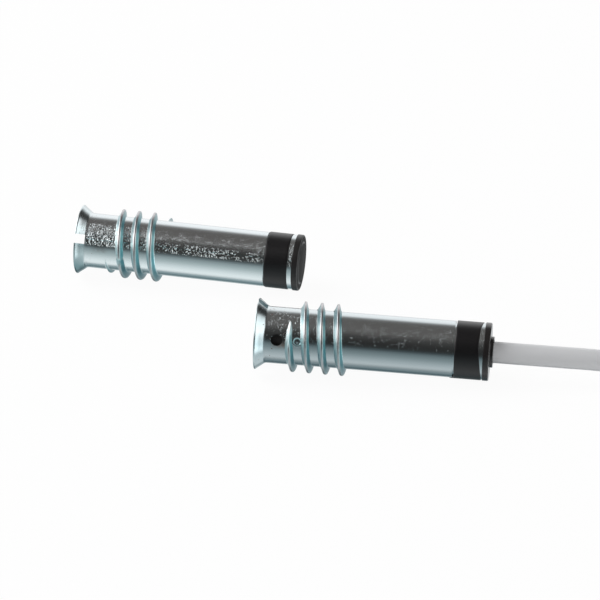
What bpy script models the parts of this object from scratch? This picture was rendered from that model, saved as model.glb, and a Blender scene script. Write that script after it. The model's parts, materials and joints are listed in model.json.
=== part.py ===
"""Magnetic contact for steel doors and windows: a switch unit on a cable and its magnet unit.

Each unit is a zinc-plated steel sleeve with a slotted, flared head and a coarse self-tapping
thread, closed at its other end by a black plug. The switch unit holds a reed switch and the
magnet unit a bar magnet. Both lie side by side on the floor, z = 0, with their heads towards -X.
"""

import math

import bmesh
import bpy
from mathutils import Matrix, Vector

MM = 0.001

# Sleeve: the same turned and threaded tube on both units
BARREL_DIAMETER = 10.0 * MM
BORE_DIAMETER = 8.4 * MM
SLEEVE_LENGTH = 40.45 * MM
FLARE_DIAMETER = 12.6 * MM
FLARE_LENGTH = 1.8 * MM
FLARE_LAND = 0.3 * MM
FLARE_WALL = 0.85 * MM
SLOT_WIDTH = 1.7 * MM
SLOT_DEPTH = 1.8 * MM

# Thread: one right-handed ridge that stands on the barrel
THREAD_DIAMETER = 12.6 * MM
THREAD_PITCH = 2.9 * MM
THREAD_CREST_WIDTH = 0.3 * MM
THREAD_ROOT_WIDTH = 1.5 * MM
THREAD_SUNK = 0.35 * MM
THREAD_STEPS_PER_TURN = 32

# Black collar in a shallow groove near the plug end
COLLAR_DIAMETER = 10.5 * MM
COLLAR_OFF_END = 1.0 * MM
COLLAR_LENGTH = 4.45 * MM
COLLAR_WALL = 0.45 * MM
COLLAR_FIT = 0.15 * MM

# Plug that closes the sleeve's rear end
PLUG_DIAMETER = 10.5 * MM
PLUG_FLANGE_THICKNESS = 0.8 * MM
PLUG_EDGE_RADIUS = 0.25 * MM
PLUG_SPIGOT_LENGTH = 4.2 * MM
PLUG_SEAT_GAP = 0.1 * MM
PLUG_DOME = 0.15 * MM
BOSS_DIAMETER = 5.5 * MM
BOSS_HEIGHT = 0.55 * MM
INNER_FIT = 0.25 * MM

# Capsule that carries the reed switch or the magnet inside the sleeve
CAPSULE_RECESS = 2.0 * MM
CAPSULE_WALL = 0.75 * MM
CAPSULE_FRONT = 1.2 * MM

# Hole and stake mark in the switch unit's sleeve
SIDE_HOLE_DIAMETER = 2.05 * MM
SIDE_HOLE_AT = 4.0 * MM
SIDE_HOLE_ANGLE = math.radians(76.3)
STAKE_DIAMETER = 1.6 * MM
STAKE_DEPTH = 0.3 * MM
STAKE_AT = 7.65 * MM

# Magnet unit's contents
MAGNET_DIAMETER = 6.0 * MM
FOAM_LENGTH = 7.25 * MM

# Switch unit's contents
GLASS_DIAMETER = 2.3 * MM
GLASS_WALL = 0.25 * MM
GLASS_LENGTH = 14.0 * MM
LEAD_DIAMETER = 0.5 * MM
LEAD_FIT = 0.1 * MM
BLADE_WIDTH = 1.1 * MM
BLADE_THICKNESS = 0.22 * MM
BLADE_OVERLAP = 1.6 * MM
BLADE_GAP = 0.12 * MM
JOINT_DIAMETER = 1.0 * MM
JOINT_GAP = 0.18 * MM
FRONT_JOINT_OFF_FLOOR = 0.8 * MM
RETURN_WIRE_DIAMETER = 0.7 * MM
RETURN_WIRE_OFF_AXIS = 2.2 * MM
LOOP_OFF_AXIS = 1.9 * MM
POTTING_LENGTH = 3.0 * MM
POTTING_FIT = 0.15 * MM
CORE_PAST_POTTING = 2.45 * MM

# Cable and its four cores
CABLE_DIAMETER = 3.8 * MM
CABLE_FIT = 0.2 * MM
CABLE_PAST_SPIGOT = 1.95 * MM
CORE_DIAMETER = 1.04 * MM
CORE_OFF_AXIS = 0.75 * MM
CORE_STRIPPED = 27.0 * MM
TIP_DIAMETER = 0.7 * MM
TIP_LENGTH = 6.0 * MM
TOUCH_GAP = 0.3 * MM

# Coil of the cable's spare length, and the tie that holds it
COIL_MIDDLE_RADIUS = 21.0 * MM
TURN_SPACING = 3.85 * MM
COLUMNS = 4
FULL_LAYERS = 3
TOP_COLUMNS = 2
COIL_CENTRE_X = 98.0 * MM
CABLE_LINE_Y = -19.5 * MM
TAIL_RADIUS = 25.0 * MM
TAIL_START = math.radians(-32)
TAIL_END = math.radians(156)
TIE_ANGLE = math.radians(62)
TIE_WIDTH = 3.0 * MM
TIE_THICKNESS = 0.6 * MM

# How the units lie: where the switch unit's head is on the floor, how far ahead and aside of it
# the magnet unit's head is, and which way each unit points
SWITCH_PLACE = (-2.2 * MM, -19.67 * MM)
SWITCH_HEADING = 0.0
MAGNET_AHEAD = 36.92 * MM
MAGNET_ASIDE = 39.36 * MM
MAGNET_HEADING = math.radians(-4.4)

# Where a unit's thread runs, as angles about its axis counted from straight up, and how far
# along the axis the crest is when it first passes the top
SWITCH_THREAD = {"start": -325, "end": 1000, "rise": 60, "fall": 60, "top_at": 8.3 * MM}
MAGNET_THREAD = {"start": -257, "end": 1074, "rise": 78, "fall": 45, "top_at": 7.63 * MM}
SWITCH_SLOT_ANGLE = math.radians(-4)
MAGNET_SLOT_ANGLE = math.radians(66)

ROUND_STEPS = 40
SMALL_STEPS = 24
ARC_STEPS = 3
COIL_ARC_STEPS = 2

# Sizes that follow from the ones above
BARREL_RADIUS = BARREL_DIAMETER / 2
BORE_RADIUS = BORE_DIAMETER / 2
FLARE_RADIUS = FLARE_DIAMETER / 2
THREAD_RADIUS = THREAD_DIAMETER / 2
COLLAR_RADIUS = COLLAR_DIAMETER / 2
GROOVE_RADIUS = COLLAR_RADIUS - COLLAR_WALL - COLLAR_FIT
COLLAR_END = SLEEVE_LENGTH - COLLAR_OFF_END
COLLAR_START = COLLAR_END - COLLAR_LENGTH
PLUG_RADIUS = PLUG_DIAMETER / 2
FLANGE_START = SLEEVE_LENGTH + PLUG_SEAT_GAP
FLANGE_END = FLANGE_START + PLUG_FLANGE_THICKNESS
SPIGOT_START = FLANGE_START - PLUG_SPIGOT_LENGTH
BOSS_END = FLANGE_END + BOSS_HEIGHT
CAPSULE_RADIUS = BORE_RADIUS - INNER_FIT
CAPSULE_BORE = CAPSULE_RADIUS - CAPSULE_WALL
CAPSULE_FLOOR = CAPSULE_RECESS + CAPSULE_FRONT
CAPSULE_END = SPIGOT_START - TOUCH_GAP
CABLE_RADIUS = CABLE_DIAMETER / 2
CORE_RADIUS = CORE_DIAMETER / 2
LEAD_RADIUS = LEAD_DIAMETER / 2
JOINT_RADIUS = JOINT_DIAMETER / 2
JOINT_REACH = JOINT_RADIUS + JOINT_GAP
CABLE_END_INSIDE = SPIGOT_START - CABLE_PAST_SPIGOT
POTTING_END = CABLE_END_INSIDE - 2 * TOUCH_GAP
POTTING_START = POTTING_END - POTTING_LENGTH
CORE_END_INSIDE = POTTING_START - CORE_PAST_POTTING
REAR_JOINT_AT = CORE_END_INSIDE - JOINT_REACH
FRONT_JOINT_AT = CAPSULE_FLOOR + FRONT_JOINT_OFF_FLOOR + JOINT_RADIUS
LEAD_OUT = (REAR_JOINT_AT - FRONT_JOINT_AT - 2 * JOINT_REACH - GLASS_LENGTH) / 2
GLASS_START = FRONT_JOINT_AT + JOINT_REACH + LEAD_OUT
GLASS_END = GLASS_START + GLASS_LENGTH
FIRST_COLUMN = COIL_MIDDLE_RADIUS - (COLUMNS - 1) / 2 * TURN_SPACING
LAST_COLUMN = FIRST_COLUMN + (COLUMNS - 1) * TURN_SPACING
COIL_CENTRE = Vector((COIL_CENTRE_X, CABLE_LINE_Y + LAST_COLUMN, 0))
FULL_LAYERS_TOP = CABLE_DIAMETER + (FULL_LAYERS - 1) * TURN_SPACING
TOP_LAYER_AT = CABLE_RADIUS + FULL_LAYERS * TURN_SPACING

# The cable's way from the plug down to the floor and on to the coil's first turn
CABLE_ROUTE = (
    (52.5 * MM, -19.62 * MM, 4.70 * MM),
    (59.0 * MM, -19.55 * MM, 4.38 * MM),
    (66.5 * MM, CABLE_LINE_Y, 3.45 * MM),
    (75.0 * MM, CABLE_LINE_Y, 2.35 * MM),
)
CABLE_POINT_SPACING = 2.2 * CABLE_DIAMETER
CORE_SPREAD = 1.0 * MM

FINISHES = {
    "zinc_plated_steel": ((0.66, 0.71, 0.72), 0.28, 1.0),
    "black_rubber": ((0.018, 0.018, 0.019), 0.6, 0.0),
    "black_plastic": ((0.026, 0.025, 0.025), 0.4, 0.0),
    "magnet_alloy": ((0.42, 0.41, 0.4), 0.35, 1.0),
    "grey_foam": ((0.24, 0.24, 0.25), 0.9, 0.0),
    "reed_glass": ((0.55, 0.72, 0.66), 0.08, 0.0),
    "nickel_iron": ((0.6, 0.58, 0.54), 0.3, 1.0),
    "solder": ((0.7, 0.7, 0.71), 0.3, 1.0),
    "epoxy": ((0.35, 0.24, 0.12), 0.35, 0.0),
    "white_pvc": ((0.74, 0.75, 0.76), 0.45, 0.0),
    "red_wire": ((0.45, 0.07, 0.05), 0.4, 0.0),
    "core_white": ((0.8, 0.8, 0.78), 0.4, 0.0),
    "core_brown": ((0.16, 0.07, 0.03), 0.4, 0.0),
    "core_green": ((0.03, 0.22, 0.07), 0.4, 0.0),
    "core_yellow": ((0.75, 0.55, 0.04), 0.4, 0.0),
    "tinned_copper": ((0.72, 0.71, 0.69), 0.3, 1.0),
    "tie_plastic": ((0.7, 0.7, 0.69), 0.5, 0.0),
}
CORES = ("core_white", "core_brown", "core_green", "core_yellow")


def clear_scene():
    for item in list(bpy.data.objects):
        bpy.data.objects.remove(item, do_unlink=True)


def new_collection(name):
    group = bpy.data.collections.new(name)
    bpy.context.scene.collection.children.link(group)
    return group


def finish(name):
    """The material of that name, made once."""
    known = bpy.data.materials.get(name)
    if known:
        return known
    colour, roughness, metallic = FINISHES[name]
    made = bpy.data.materials.new(name)
    made.use_nodes = True
    shader = made.node_tree.nodes["Principled BSDF"]
    shader.inputs["Base Color"].default_value = (*colour, 1.0)
    shader.inputs["Roughness"].default_value = roughness
    shader.inputs["Metallic"].default_value = metallic
    made.diffuse_color = (*colour, 1.0)
    return made


def place(item, material, parent):
    """Puts an object among the parts, with its material and its parent."""
    PARTS.objects.link(item)
    item.data.materials.append(finish(material))
    item.parent = parent
    return item


def place_cutter(item, parent):
    """Puts an object among the tools that cut or join the parts."""
    CUTTERS.objects.link(item)
    item.hide_render = True
    item.display_type = "WIRE"
    item.parent = parent
    return item


def turned_object(name, outline, steps, closed):
    """A solid of revolution about Z from (radius, height) points.

    The outline's outer side runs from the high end to the low end. A closed outline gives a
    ring or a tube, and an open one starts and ends on the axis.
    """
    shape = bpy.data.meshes.new(name)
    points = [(radius, 0, height) for radius, height in outline]
    edges = [(i, i + 1) for i in range(len(points) - 1)]
    if closed:
        edges.append((len(points) - 1, 0))
    shape.from_pydata(points, edges, [])
    item = bpy.data.objects.new(name, shape)
    screw = item.modifiers.new("turn", "SCREW")
    screw.axis = "Z"
    screw.steps = steps
    screw.render_steps = steps
    screw.use_merge_vertices = True
    screw.merge_threshold = 0.000001
    screw.use_smooth_shade = True
    return item


def turned(name, outline, material, parent, steps=ROUND_STEPS, closed=False):
    return place(turned_object(name, outline, steps, closed), material, parent)


def quarter(radius_at, height_at, radius, start, end, steps=ARC_STEPS):
    """Points of an arc in the (radius, height) plane, angles in degrees from straight out."""
    turns = [math.radians(start + (end - start) * i / steps) for i in range(steps + 1)]
    return [(radius_at + radius * math.cos(t), height_at + radius * math.sin(t)) for t in turns]


def smooth_points(route, spacing):
    """Points about one spacing apart on a Catmull-Rom curve through a route's points."""
    knots = [Vector(p) for p in route]
    knots = [2 * knots[0] - knots[1], *knots, 2 * knots[-1] - knots[-2]]
    found = []
    for a, b, c, d in zip(knots, knots[1:], knots[2:], knots[3:], strict=False):
        count = max(1, round((c - b).length / spacing))
        for i in range(count):
            t = i / count
            found.append(
                0.5 * (2 * b + (c - a) * t + (2 * a - 5 * b + 4 * c - d) * t**2)
                + 0.5 * (3 * b - a - 3 * c + d) * t**3
            )
    return [*found, knots[-2]]


def wire_object(name, points, radius, resolution=2):
    """A round wire or tube along a list of points, closed by flat ends."""
    path = bpy.data.curves.new(name, "CURVE")
    path.dimensions = "3D"
    path.resolution_u = 1
    path.render_resolution_u = 0
    path.bevel_depth = radius
    path.bevel_resolution = resolution
    path.use_fill_caps = True
    line = path.splines.new("POLY")
    line.points.add(len(points) - 1)
    for knot, point in zip(line.points, points, strict=True):
        knot.co = (*point, 1)
    return bpy.data.objects.new(name, path)


def wire(name, points, radius, material, parent, resolution=2):
    return place(wire_object(name, points, radius, resolution), material, parent)


def block_object(name, size, centre, turn=None):
    """A box of that size whose own axes are turned about its centre."""
    shape = bpy.data.meshes.new(name)
    form = bmesh.new()
    bmesh.ops.create_cube(form, size=1.0)
    bmesh.ops.scale(form, vec=size, verts=form.verts)
    form.to_mesh(shape)
    form.free()
    item = bpy.data.objects.new(name, shape)
    item.location = centre
    if turn is not None:
        item.rotation_euler = turn.to_euler()
    return item


def ball_object(name, radius, centre):
    shape = bpy.data.meshes.new(name)
    form = bmesh.new()
    bmesh.ops.create_uvsphere(form, u_segments=12, v_segments=8, radius=radius)
    form.to_mesh(shape)
    form.free()
    for face in shape.polygons:
        face.use_smooth = True
    item = bpy.data.objects.new(name, shape)
    item.location = centre
    return item


def combine(item, tool, operation):
    step = item.modifiers.new(tool.name, "BOOLEAN")
    step.operation = operation
    step.solver = "EXACT"
    step.object = tool


def around(radius, angle, height):
    """A point at that distance from a unit's axis. Angle 0 is up, and 90 degrees the near side."""
    return Vector((radius * math.cos(angle), radius * math.sin(angle), height))


def unit_frame(name, place_at, heading, rests_at):
    """An empty at the centre of a unit's head, with its Z along the axis towards the plug.

    The unit lies on the thread crest at rests_at and on the plug's edge, so its plug end
    points a little down.
    """
    lever = FLANGE_END - PLUG_EDGE_RADIUS - rests_at
    tilt = math.atan2(THREAD_RADIUS - PLUG_RADIUS, lever)
    height = rests_at * math.sin(tilt) + THREAD_RADIUS * math.cos(tilt)
    frame = bpy.data.objects.new(name, None)
    PARTS.objects.link(frame)
    frame.location = (*place_at, height)
    turn = Matrix.Rotation(heading, 3, "Z") @ Matrix.Rotation(math.pi / 2 + tilt, 3, "Y")
    frame.rotation_euler = (turn @ Matrix.Rotation(math.pi, 3, "Z")).to_euler()
    return frame


def crest_at(thread, angle):
    """How far along the axis the crest is at that angle, in degrees from its first top."""
    return thread["top_at"] + THREAD_PITCH * angle / 360


def last_crest_below(thread):
    """How far along the axis the last full crest passes straight below the axis."""
    full_until = thread["end"] - thread["fall"]
    turns = math.floor((full_until - 180) / 360)
    return crest_at(thread, 180 + 360 * turns)


def thread_object(name, thread):
    """The thread's ridge, as a helix whose section shrinks to nothing at both ends."""
    half_root = THREAD_ROOT_WIDTH / 2
    half_crest = THREAD_CREST_WIDTH / 2
    height = THREAD_RADIUS - BARREL_RADIUS + THREAD_SUNK
    shoulder = 0.62 * height
    section = [
        (0, -half_root),
        (shoulder, -0.42 * half_root),
        (height - 0.3 * half_crest, -half_crest),
        (height, 0),
        (height - 0.3 * half_crest, half_crest),
        (shoulder, 0.42 * half_root),
        (0, half_root),
    ]
    outline = bpy.data.curves.new(name + "_section", "CURVE")
    outline.dimensions = "2D"
    ring = outline.splines.new("POLY")
    ring.points.add(len(section) - 1)
    ring.use_cyclic_u = True
    for knot, (out, along) in zip(ring.points, section, strict=True):
        knot.co = (out, along, 0, 1)
    profile = place_cutter(bpy.data.objects.new(name + "_section", outline), None)
    path = bpy.data.curves.new(name, "CURVE")
    path.dimensions = "3D"
    path.twist_mode = "Z_UP"
    path.resolution_u = 1
    path.render_resolution_u = 0
    path.bevel_mode = "OBJECT"
    path.bevel_object = profile
    path.use_fill_caps = True
    helix = path.splines.new("POLY")
    span = thread["end"] - thread["start"]
    count = round(span / 360 * THREAD_STEPS_PER_TURN)
    helix.points.add(count)
    for i, knot in enumerate(helix.points):
        angle = thread["start"] + span * i / count
        rise = (angle - thread["start"]) / thread["rise"]
        fall = (thread["end"] - angle) / thread["fall"]
        knot.radius = max(0.12, min(1.0, rise, fall))
        point = around(BARREL_RADIUS - THREAD_SUNK, math.radians(angle), crest_at(thread, angle))
        knot.co = (*point, 1)
    return bpy.data.objects.new(name, path)


def as_mesh(item):
    """The same object with its curve turned into a mesh, as a Boolean needs."""
    bpy.context.scene.collection.objects.link(item)
    bpy.context.view_layer.update()
    seen = item.evaluated_get(bpy.context.evaluated_depsgraph_get())
    shape = bpy.data.meshes.new_from_object(seen)
    form = bmesh.new()
    form.from_mesh(shape)
    bmesh.ops.remove_doubles(form, verts=form.verts, dist=0.000001)
    bmesh.ops.recalc_face_normals(form, faces=form.faces)
    form.to_mesh(shape)
    form.free()
    made = bpy.data.objects.new(item.name, shape)
    bpy.data.objects.remove(item, do_unlink=True)
    return made


def sleeve_outline():
    """The sleeve's wall: flared head at height 0, collar groove and plain rear end."""
    rim_inside = FLARE_RADIUS - FLARE_WALL * math.sqrt(2)
    cone_depth = rim_inside - BORE_RADIUS
    chamfer = 0.15 * MM
    return [
        (BARREL_RADIUS - chamfer, SLEEVE_LENGTH),
        (BARREL_RADIUS, SLEEVE_LENGTH - chamfer),
        (BARREL_RADIUS, COLLAR_END),
        (GROOVE_RADIUS, COLLAR_END),
        (GROOVE_RADIUS, COLLAR_START),
        (BARREL_RADIUS, COLLAR_START),
        (BARREL_RADIUS, FLARE_LENGTH),
        (FLARE_RADIUS, FLARE_LAND),
        (FLARE_RADIUS, chamfer / 2),
        (FLARE_RADIUS - chamfer, 0),
        (rim_inside, 0),
        (BORE_RADIUS, cone_depth),
        (BORE_RADIUS, SLEEVE_LENGTH),
    ]


def sleeve(name, unit, thread, slot_angle):
    body = turned(name, sleeve_outline(), "zinc_plated_steel", unit, closed=True)
    ridge = place_cutter(as_mesh(thread_object(name + "_thread", thread)), unit)
    combine(body, ridge, "UNION")
    beyond = FLARE_DIAMETER * 1.5
    size = (beyond, SLOT_WIDTH, 2 * SLOT_DEPTH)
    turn = Matrix.Rotation(slot_angle, 3, "Z")
    slot = place_cutter(block_object(name + "_slot", size, (0, 0, 0), turn), unit)
    combine(body, slot, "DIFFERENCE")
    return body


def side_hole(body, unit):
    """The round hole through the near wall of the switch unit's sleeve."""
    depth = BARREL_RADIUS - CAPSULE_RADIUS + THREAD_SUNK
    radius = SIDE_HOLE_DIAMETER / 2
    outline = [(0, depth), (radius, depth), (radius, -INNER_FIT), (0, -INNER_FIT)]
    drill = turned_object(body.name + "_side_hole", outline, SMALL_STEPS, False)
    place_cutter(drill, unit)
    drill.location = around(CAPSULE_RADIUS + INNER_FIT / 2, SIDE_HOLE_ANGLE, SIDE_HOLE_AT)
    turn = Matrix.Rotation(SIDE_HOLE_ANGLE, 3, "Z") @ Matrix.Rotation(math.pi / 2, 3, "Y")
    drill.rotation_euler = turn.to_euler()
    combine(body, drill, "DIFFERENCE")


def stake_mark(body, unit):
    """The shallow round dent beside the hole."""
    half = STAKE_DIAMETER / 2
    radius = (half**2 + STAKE_DEPTH**2) / (2 * STAKE_DEPTH)
    centre = around(BARREL_RADIUS - STAKE_DEPTH + radius, SIDE_HOLE_ANGLE, STAKE_AT)
    punch = place_cutter(ball_object(body.name + "_stake", radius, centre), unit)
    combine(body, punch, "DIFFERENCE")


def collar(name, unit):
    inside = COLLAR_RADIUS - COLLAR_WALL
    start = COLLAR_START + COLLAR_FIT
    end = COLLAR_END - COLLAR_FIT
    edge = 0.12 * MM
    outline = [
        (inside, end),
        (COLLAR_RADIUS - edge, end),
        (COLLAR_RADIUS, end - edge),
        (COLLAR_RADIUS, start + edge),
        (COLLAR_RADIUS - edge, start),
        (inside, start),
    ]
    return turned(name, outline, "black_rubber", unit, closed=True)


def plug_edge():
    """The flange's rounded rim, from its end face to the face that meets the sleeve."""
    rim = PLUG_RADIUS - PLUG_EDGE_RADIUS
    rounded = quarter(rim, FLANGE_END - PLUG_EDGE_RADIUS, PLUG_EDGE_RADIUS, 90, 0)
    spigot = BORE_RADIUS - INNER_FIT
    return [*rounded, (PLUG_RADIUS, FLANGE_START), (spigot, FLANGE_START), (spigot, SPIGOT_START)]


def closed_plug(name, unit):
    """The magnet unit's plug, with a slightly domed end."""
    dome = [(0, FLANGE_END + PLUG_DOME), (PLUG_RADIUS * 0.5, FLANGE_END + PLUG_DOME * 0.75)]
    return turned(name, [*dome, *plug_edge(), (0, SPIGOT_START)], "black_plastic", unit)


def cable_plug(name, unit):
    """The switch unit's plug, with a boss and a bore for the cable."""
    bore = CABLE_RADIUS + CABLE_FIT
    boss = BOSS_DIAMETER / 2
    outline = [
        (bore, BOSS_END),
        (boss, BOSS_END),
        (boss, FLANGE_END),
        *plug_edge(),
        (bore, SPIGOT_START),
    ]
    return turned(name, outline, "black_plastic", unit, closed=True)


def capsule(name, unit):
    """The cup inside the sleeve that holds the reed switch or the magnet."""
    outline = [
        (CAPSULE_BORE, CAPSULE_END),
        (CAPSULE_RADIUS, CAPSULE_END),
        (CAPSULE_RADIUS, CAPSULE_RECESS),
        (0, CAPSULE_RECESS),
    ]
    outline = [(0, CAPSULE_FLOOR), (CAPSULE_BORE, CAPSULE_FLOOR), *outline]
    return turned(name, outline, "black_plastic", unit, steps=SMALL_STEPS)


def rod(name, radius, start, end, material, unit):
    outline = [(0, end), (radius, end), (radius, start), (0, start)]
    return turned(name, outline, material, unit, steps=SMALL_STEPS)


def magnet_unit():
    rests_at = last_crest_below(MAGNET_THREAD)
    place_at = (SWITCH_PLACE[0] - MAGNET_AHEAD, SWITCH_PLACE[1] + MAGNET_ASIDE)
    unit = unit_frame("magnet_unit", place_at, MAGNET_HEADING, rests_at)
    sleeve("magnet_sleeve", unit, MAGNET_THREAD, MAGNET_SLOT_ANGLE)
    collar("magnet_collar", unit)
    closed_plug("magnet_end_plug", unit)
    capsule("magnet_capsule", unit)
    start = CAPSULE_FLOOR + TOUCH_GAP
    foam_start = CAPSULE_END - FOAM_LENGTH
    radius = MAGNET_DIAMETER / 2
    rod("bar_magnet", radius, start, foam_start - TOUCH_GAP, "magnet_alloy", unit)
    rod("magnet_foam", radius, foam_start, CAPSULE_END, "grey_foam", unit)


def reed_glass(unit):
    """The reed's glass envelope, drawn in to a small opening round each lead."""
    outside = GLASS_DIAMETER / 2
    inside = outside - GLASS_WALL
    hole = LEAD_RADIUS + LEAD_FIT
    end_wall = 2 * GLASS_WALL
    outline = [
        (hole, GLASS_END),
        (inside, GLASS_END),
        (outside, GLASS_END - GLASS_WALL),
        (outside, GLASS_START + GLASS_WALL),
        (inside, GLASS_START),
        (hole, GLASS_START),
        (hole, GLASS_START + end_wall),
        (inside, GLASS_START + 2 * end_wall),
        (inside, GLASS_END - 2 * end_wall),
        (hole, GLASS_END - end_wall),
    ]
    turned("reed_glass", outline, "reed_glass", unit, steps=SMALL_STEPS, closed=True)


def reed_blade(name, unit, lead_end, side):
    """A round lead and the flat blade that it ends in, beside the other blade's end."""
    middle = (GLASS_START + GLASS_END) / 2
    away = 1 if lead_end > middle else -1
    root = middle + away * (GLASS_LENGTH / 2 - 5 * GLASS_WALL)
    tip = middle - away * BLADE_OVERLAP / 2
    low, high = sorted((root, lead_end))
    lead = rod(name, LEAD_RADIUS, low, high, "nickel_iron", unit)
    low, high = sorted((root + away * LEAD_RADIUS, tip))
    off = side * (BLADE_GAP + BLADE_THICKNESS) / 2
    size = (BLADE_WIDTH, BLADE_THICKNESS, high - low)
    flat = block_object(name + "_flat", size, (0, off, (low + high) / 2))
    combine(lead, place_cutter(flat, unit), "UNION")


def solder_joint(name, unit, centre):
    place(ball_object(name, JOINT_RADIUS, centre), "solder", unit)


def return_wire(unit):
    """The insulated wire that brings the front lead's contact back past the glass."""
    radius = RETURN_WIRE_DIAMETER / 2
    start = JOINT_REACH
    far = RETURN_WIRE_OFF_AXIS
    end = REAR_JOINT_AT - JOINT_REACH
    route = [
        (0, start, FRONT_JOINT_AT),
        (0, start + radius, FRONT_JOINT_AT),
        (0, far - radius, FRONT_JOINT_AT + radius),
        (0, far, FRONT_JOINT_AT + 4 * radius),
        (0, far, (FRONT_JOINT_AT + end) / 2),
        (0, far, end),
    ]
    wire("reed_return_wire", smooth_points(route, 3 * radius), radius, "red_wire", unit)


def inner_core(name, material, unit, corner, goal):
    """A core from the cable's inner end, through the potting, to its solder joint."""
    x, y = corner
    straight_until = POTTING_START - TOUCH_GAP
    route = [
        (x, y, CABLE_END_INSIDE - TOUCH_GAP),
        (x, y, straight_until),
        ((x + goal[0]) / 2, (y + goal[1]) / 2, (straight_until + CORE_END_INSIDE) / 2),
        (goal[0], goal[1], CORE_END_INSIDE + TOUCH_GAP),
        (goal[0], goal[1], CORE_END_INSIDE),
    ]
    points = smooth_points(route, 1.4 * CORE_DIAMETER)
    wire(name, points, CORE_RADIUS, material, unit)


def core_corners():
    """Where the four cores lie in the cable's section, in the order of CORES."""
    off = CORE_OFF_AXIS
    return ((off, off), (-off, off), (off, -off), (-off, -off))


def potting(unit):
    """The epoxy that holds the cores, with a hole where each core runs through."""
    radius = CAPSULE_BORE - POTTING_FIT
    plug = rod("potting", radius, POTTING_START, POTTING_END, "epoxy", unit)
    hole = CORE_RADIUS + POTTING_FIT
    for i, (x, y) in enumerate(core_corners()):
        low, high = POTTING_START - TOUCH_GAP, POTTING_END + TOUCH_GAP
        outline = [(0, high), (hole, high), (hole, low), (0, low)]
        drill = turned_object(f"potting_hole_{i + 1}", outline, 12, False)
        place_cutter(drill, unit)
        drill.location = (x, y, 0)
        combine(plug, drill, "DIFFERENCE")


def switch_unit():
    rests_at = last_crest_below(SWITCH_THREAD)
    unit = unit_frame("switch_unit", SWITCH_PLACE, SWITCH_HEADING, rests_at)
    body = sleeve("switch_sleeve", unit, SWITCH_THREAD, SWITCH_SLOT_ANGLE)
    side_hole(body, unit)
    stake_mark(body, unit)
    collar("switch_collar", unit)
    cable_plug("switch_end_plug", unit)
    capsule("switch_capsule", unit)
    reed_glass(unit)
    reed_blade("reed_blade_front", unit, GLASS_START - LEAD_OUT, 1)
    reed_blade("reed_blade_rear", unit, GLASS_END + LEAD_OUT, -1)
    return_wire(unit)
    solder_joint("solder_front", unit, (0, 0, FRONT_JOINT_AT))
    solder_joint("solder_rear", unit, (0, 0, REAR_JOINT_AT))
    solder_joint("solder_return", unit, (0, RETURN_WIRE_OFF_AXIS, REAR_JOINT_AT))
    solder_joint("solder_loop", unit, (0, -LOOP_OFF_AXIS, REAR_JOINT_AT))
    apart = CORE_RADIUS + POTTING_FIT / 2
    goals = (
        (0, 0),
        (0, RETURN_WIRE_OFF_AXIS),
        (apart, -LOOP_OFF_AXIS),
        (-apart, -LOOP_OFF_AXIS),
    )
    for material, corner, goal in zip(CORES, core_corners(), goals, strict=True):
        inner_core(material + "_inside", material, unit, corner, goal)
    potting(unit)
    return unit


def cable(unit):
    """The cable from its inner end out through the plug and down to the coil's first turn."""
    bpy.context.view_layer.update()
    inner = unit.matrix_world @ Vector((0, 0, CABLE_END_INSIDE))
    exit_at = unit.matrix_world @ Vector((0, 0, BOSS_END))
    outer = unit.matrix_world @ Vector((0, 0, BOSS_END + CABLE_DIAMETER))
    outermost = LAST_COLUMN + CABLE_RADIUS + TOUCH_GAP
    reach = math.sqrt(outermost**2 - (LAST_COLUMN - CABLE_RADIUS) ** 2)
    meets = (COIL_CENTRE.x - reach, CABLE_LINE_Y, CABLE_RADIUS)
    points = smooth_points([inner, exit_at, outer, *CABLE_ROUTE, meets], CABLE_POINT_SPACING)
    wire("cable", points, CABLE_RADIUS, "white_pvc", None)


def coil():
    """The outer shape of the coiled turns: full layers, and a top layer of the inner columns."""
    inside = FIRST_COLUMN - CABLE_RADIUS
    outside = LAST_COLUMN + CABLE_RADIUS
    step = FIRST_COLUMN + (TOP_COLUMNS - 1) * TURN_SPACING + CABLE_RADIUS
    top = TOP_LAYER_AT + CABLE_RADIUS
    edge = CABLE_RADIUS * 0.9
    outline = [
        *quarter(inside + edge, top - edge, edge, 180, 90, COIL_ARC_STEPS),
        *quarter(step - edge, top - edge, edge, 90, 0, COIL_ARC_STEPS),
        (step, FULL_LAYERS_TOP),
        *quarter(outside - edge, FULL_LAYERS_TOP - edge, edge, 90, 0, COIL_ARC_STEPS),
        *quarter(outside - edge, edge, edge, 0, -90, COIL_ARC_STEPS),
        *quarter(inside + edge, edge, edge, -90, -180, COIL_ARC_STEPS),
    ]
    ring = turned("cable_coil", outline, "white_pvc", None, closed=True)
    ring.location = COIL_CENTRE
    depth = TIE_THICKNESS + TOUCH_GAP
    centre = coil_point(COIL_MIDDLE_RADIUS, TIE_ANGLE, 0)
    size = (COLUMNS * TURN_SPACING * 2, TIE_WIDTH + 2 * TOUCH_GAP, 2 * depth)
    notch = block_object("coil_notch", size, centre, Matrix.Rotation(TIE_ANGLE, 3, "Z"))
    combine(ring, place_cutter(notch, None), "DIFFERENCE")


def coil_point(radius, angle, height):
    """A point beside the coil's centre; the turns run round towards larger angles."""
    flat = Vector((radius * math.cos(angle), radius * math.sin(angle), height))
    return COIL_CENTRE + flat


def tail_radius(angle):
    """The tail's distance from the coil's centre, moving out from the last full turn."""
    last_turn = FIRST_COLUMN + (TOP_COLUMNS - 1) * TURN_SPACING
    share = min(1.0, (angle + math.pi / 2) / (math.pi / 2))
    return last_turn + (TAIL_RADIUS - last_turn) * share**2 * (3 - 2 * share)


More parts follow.
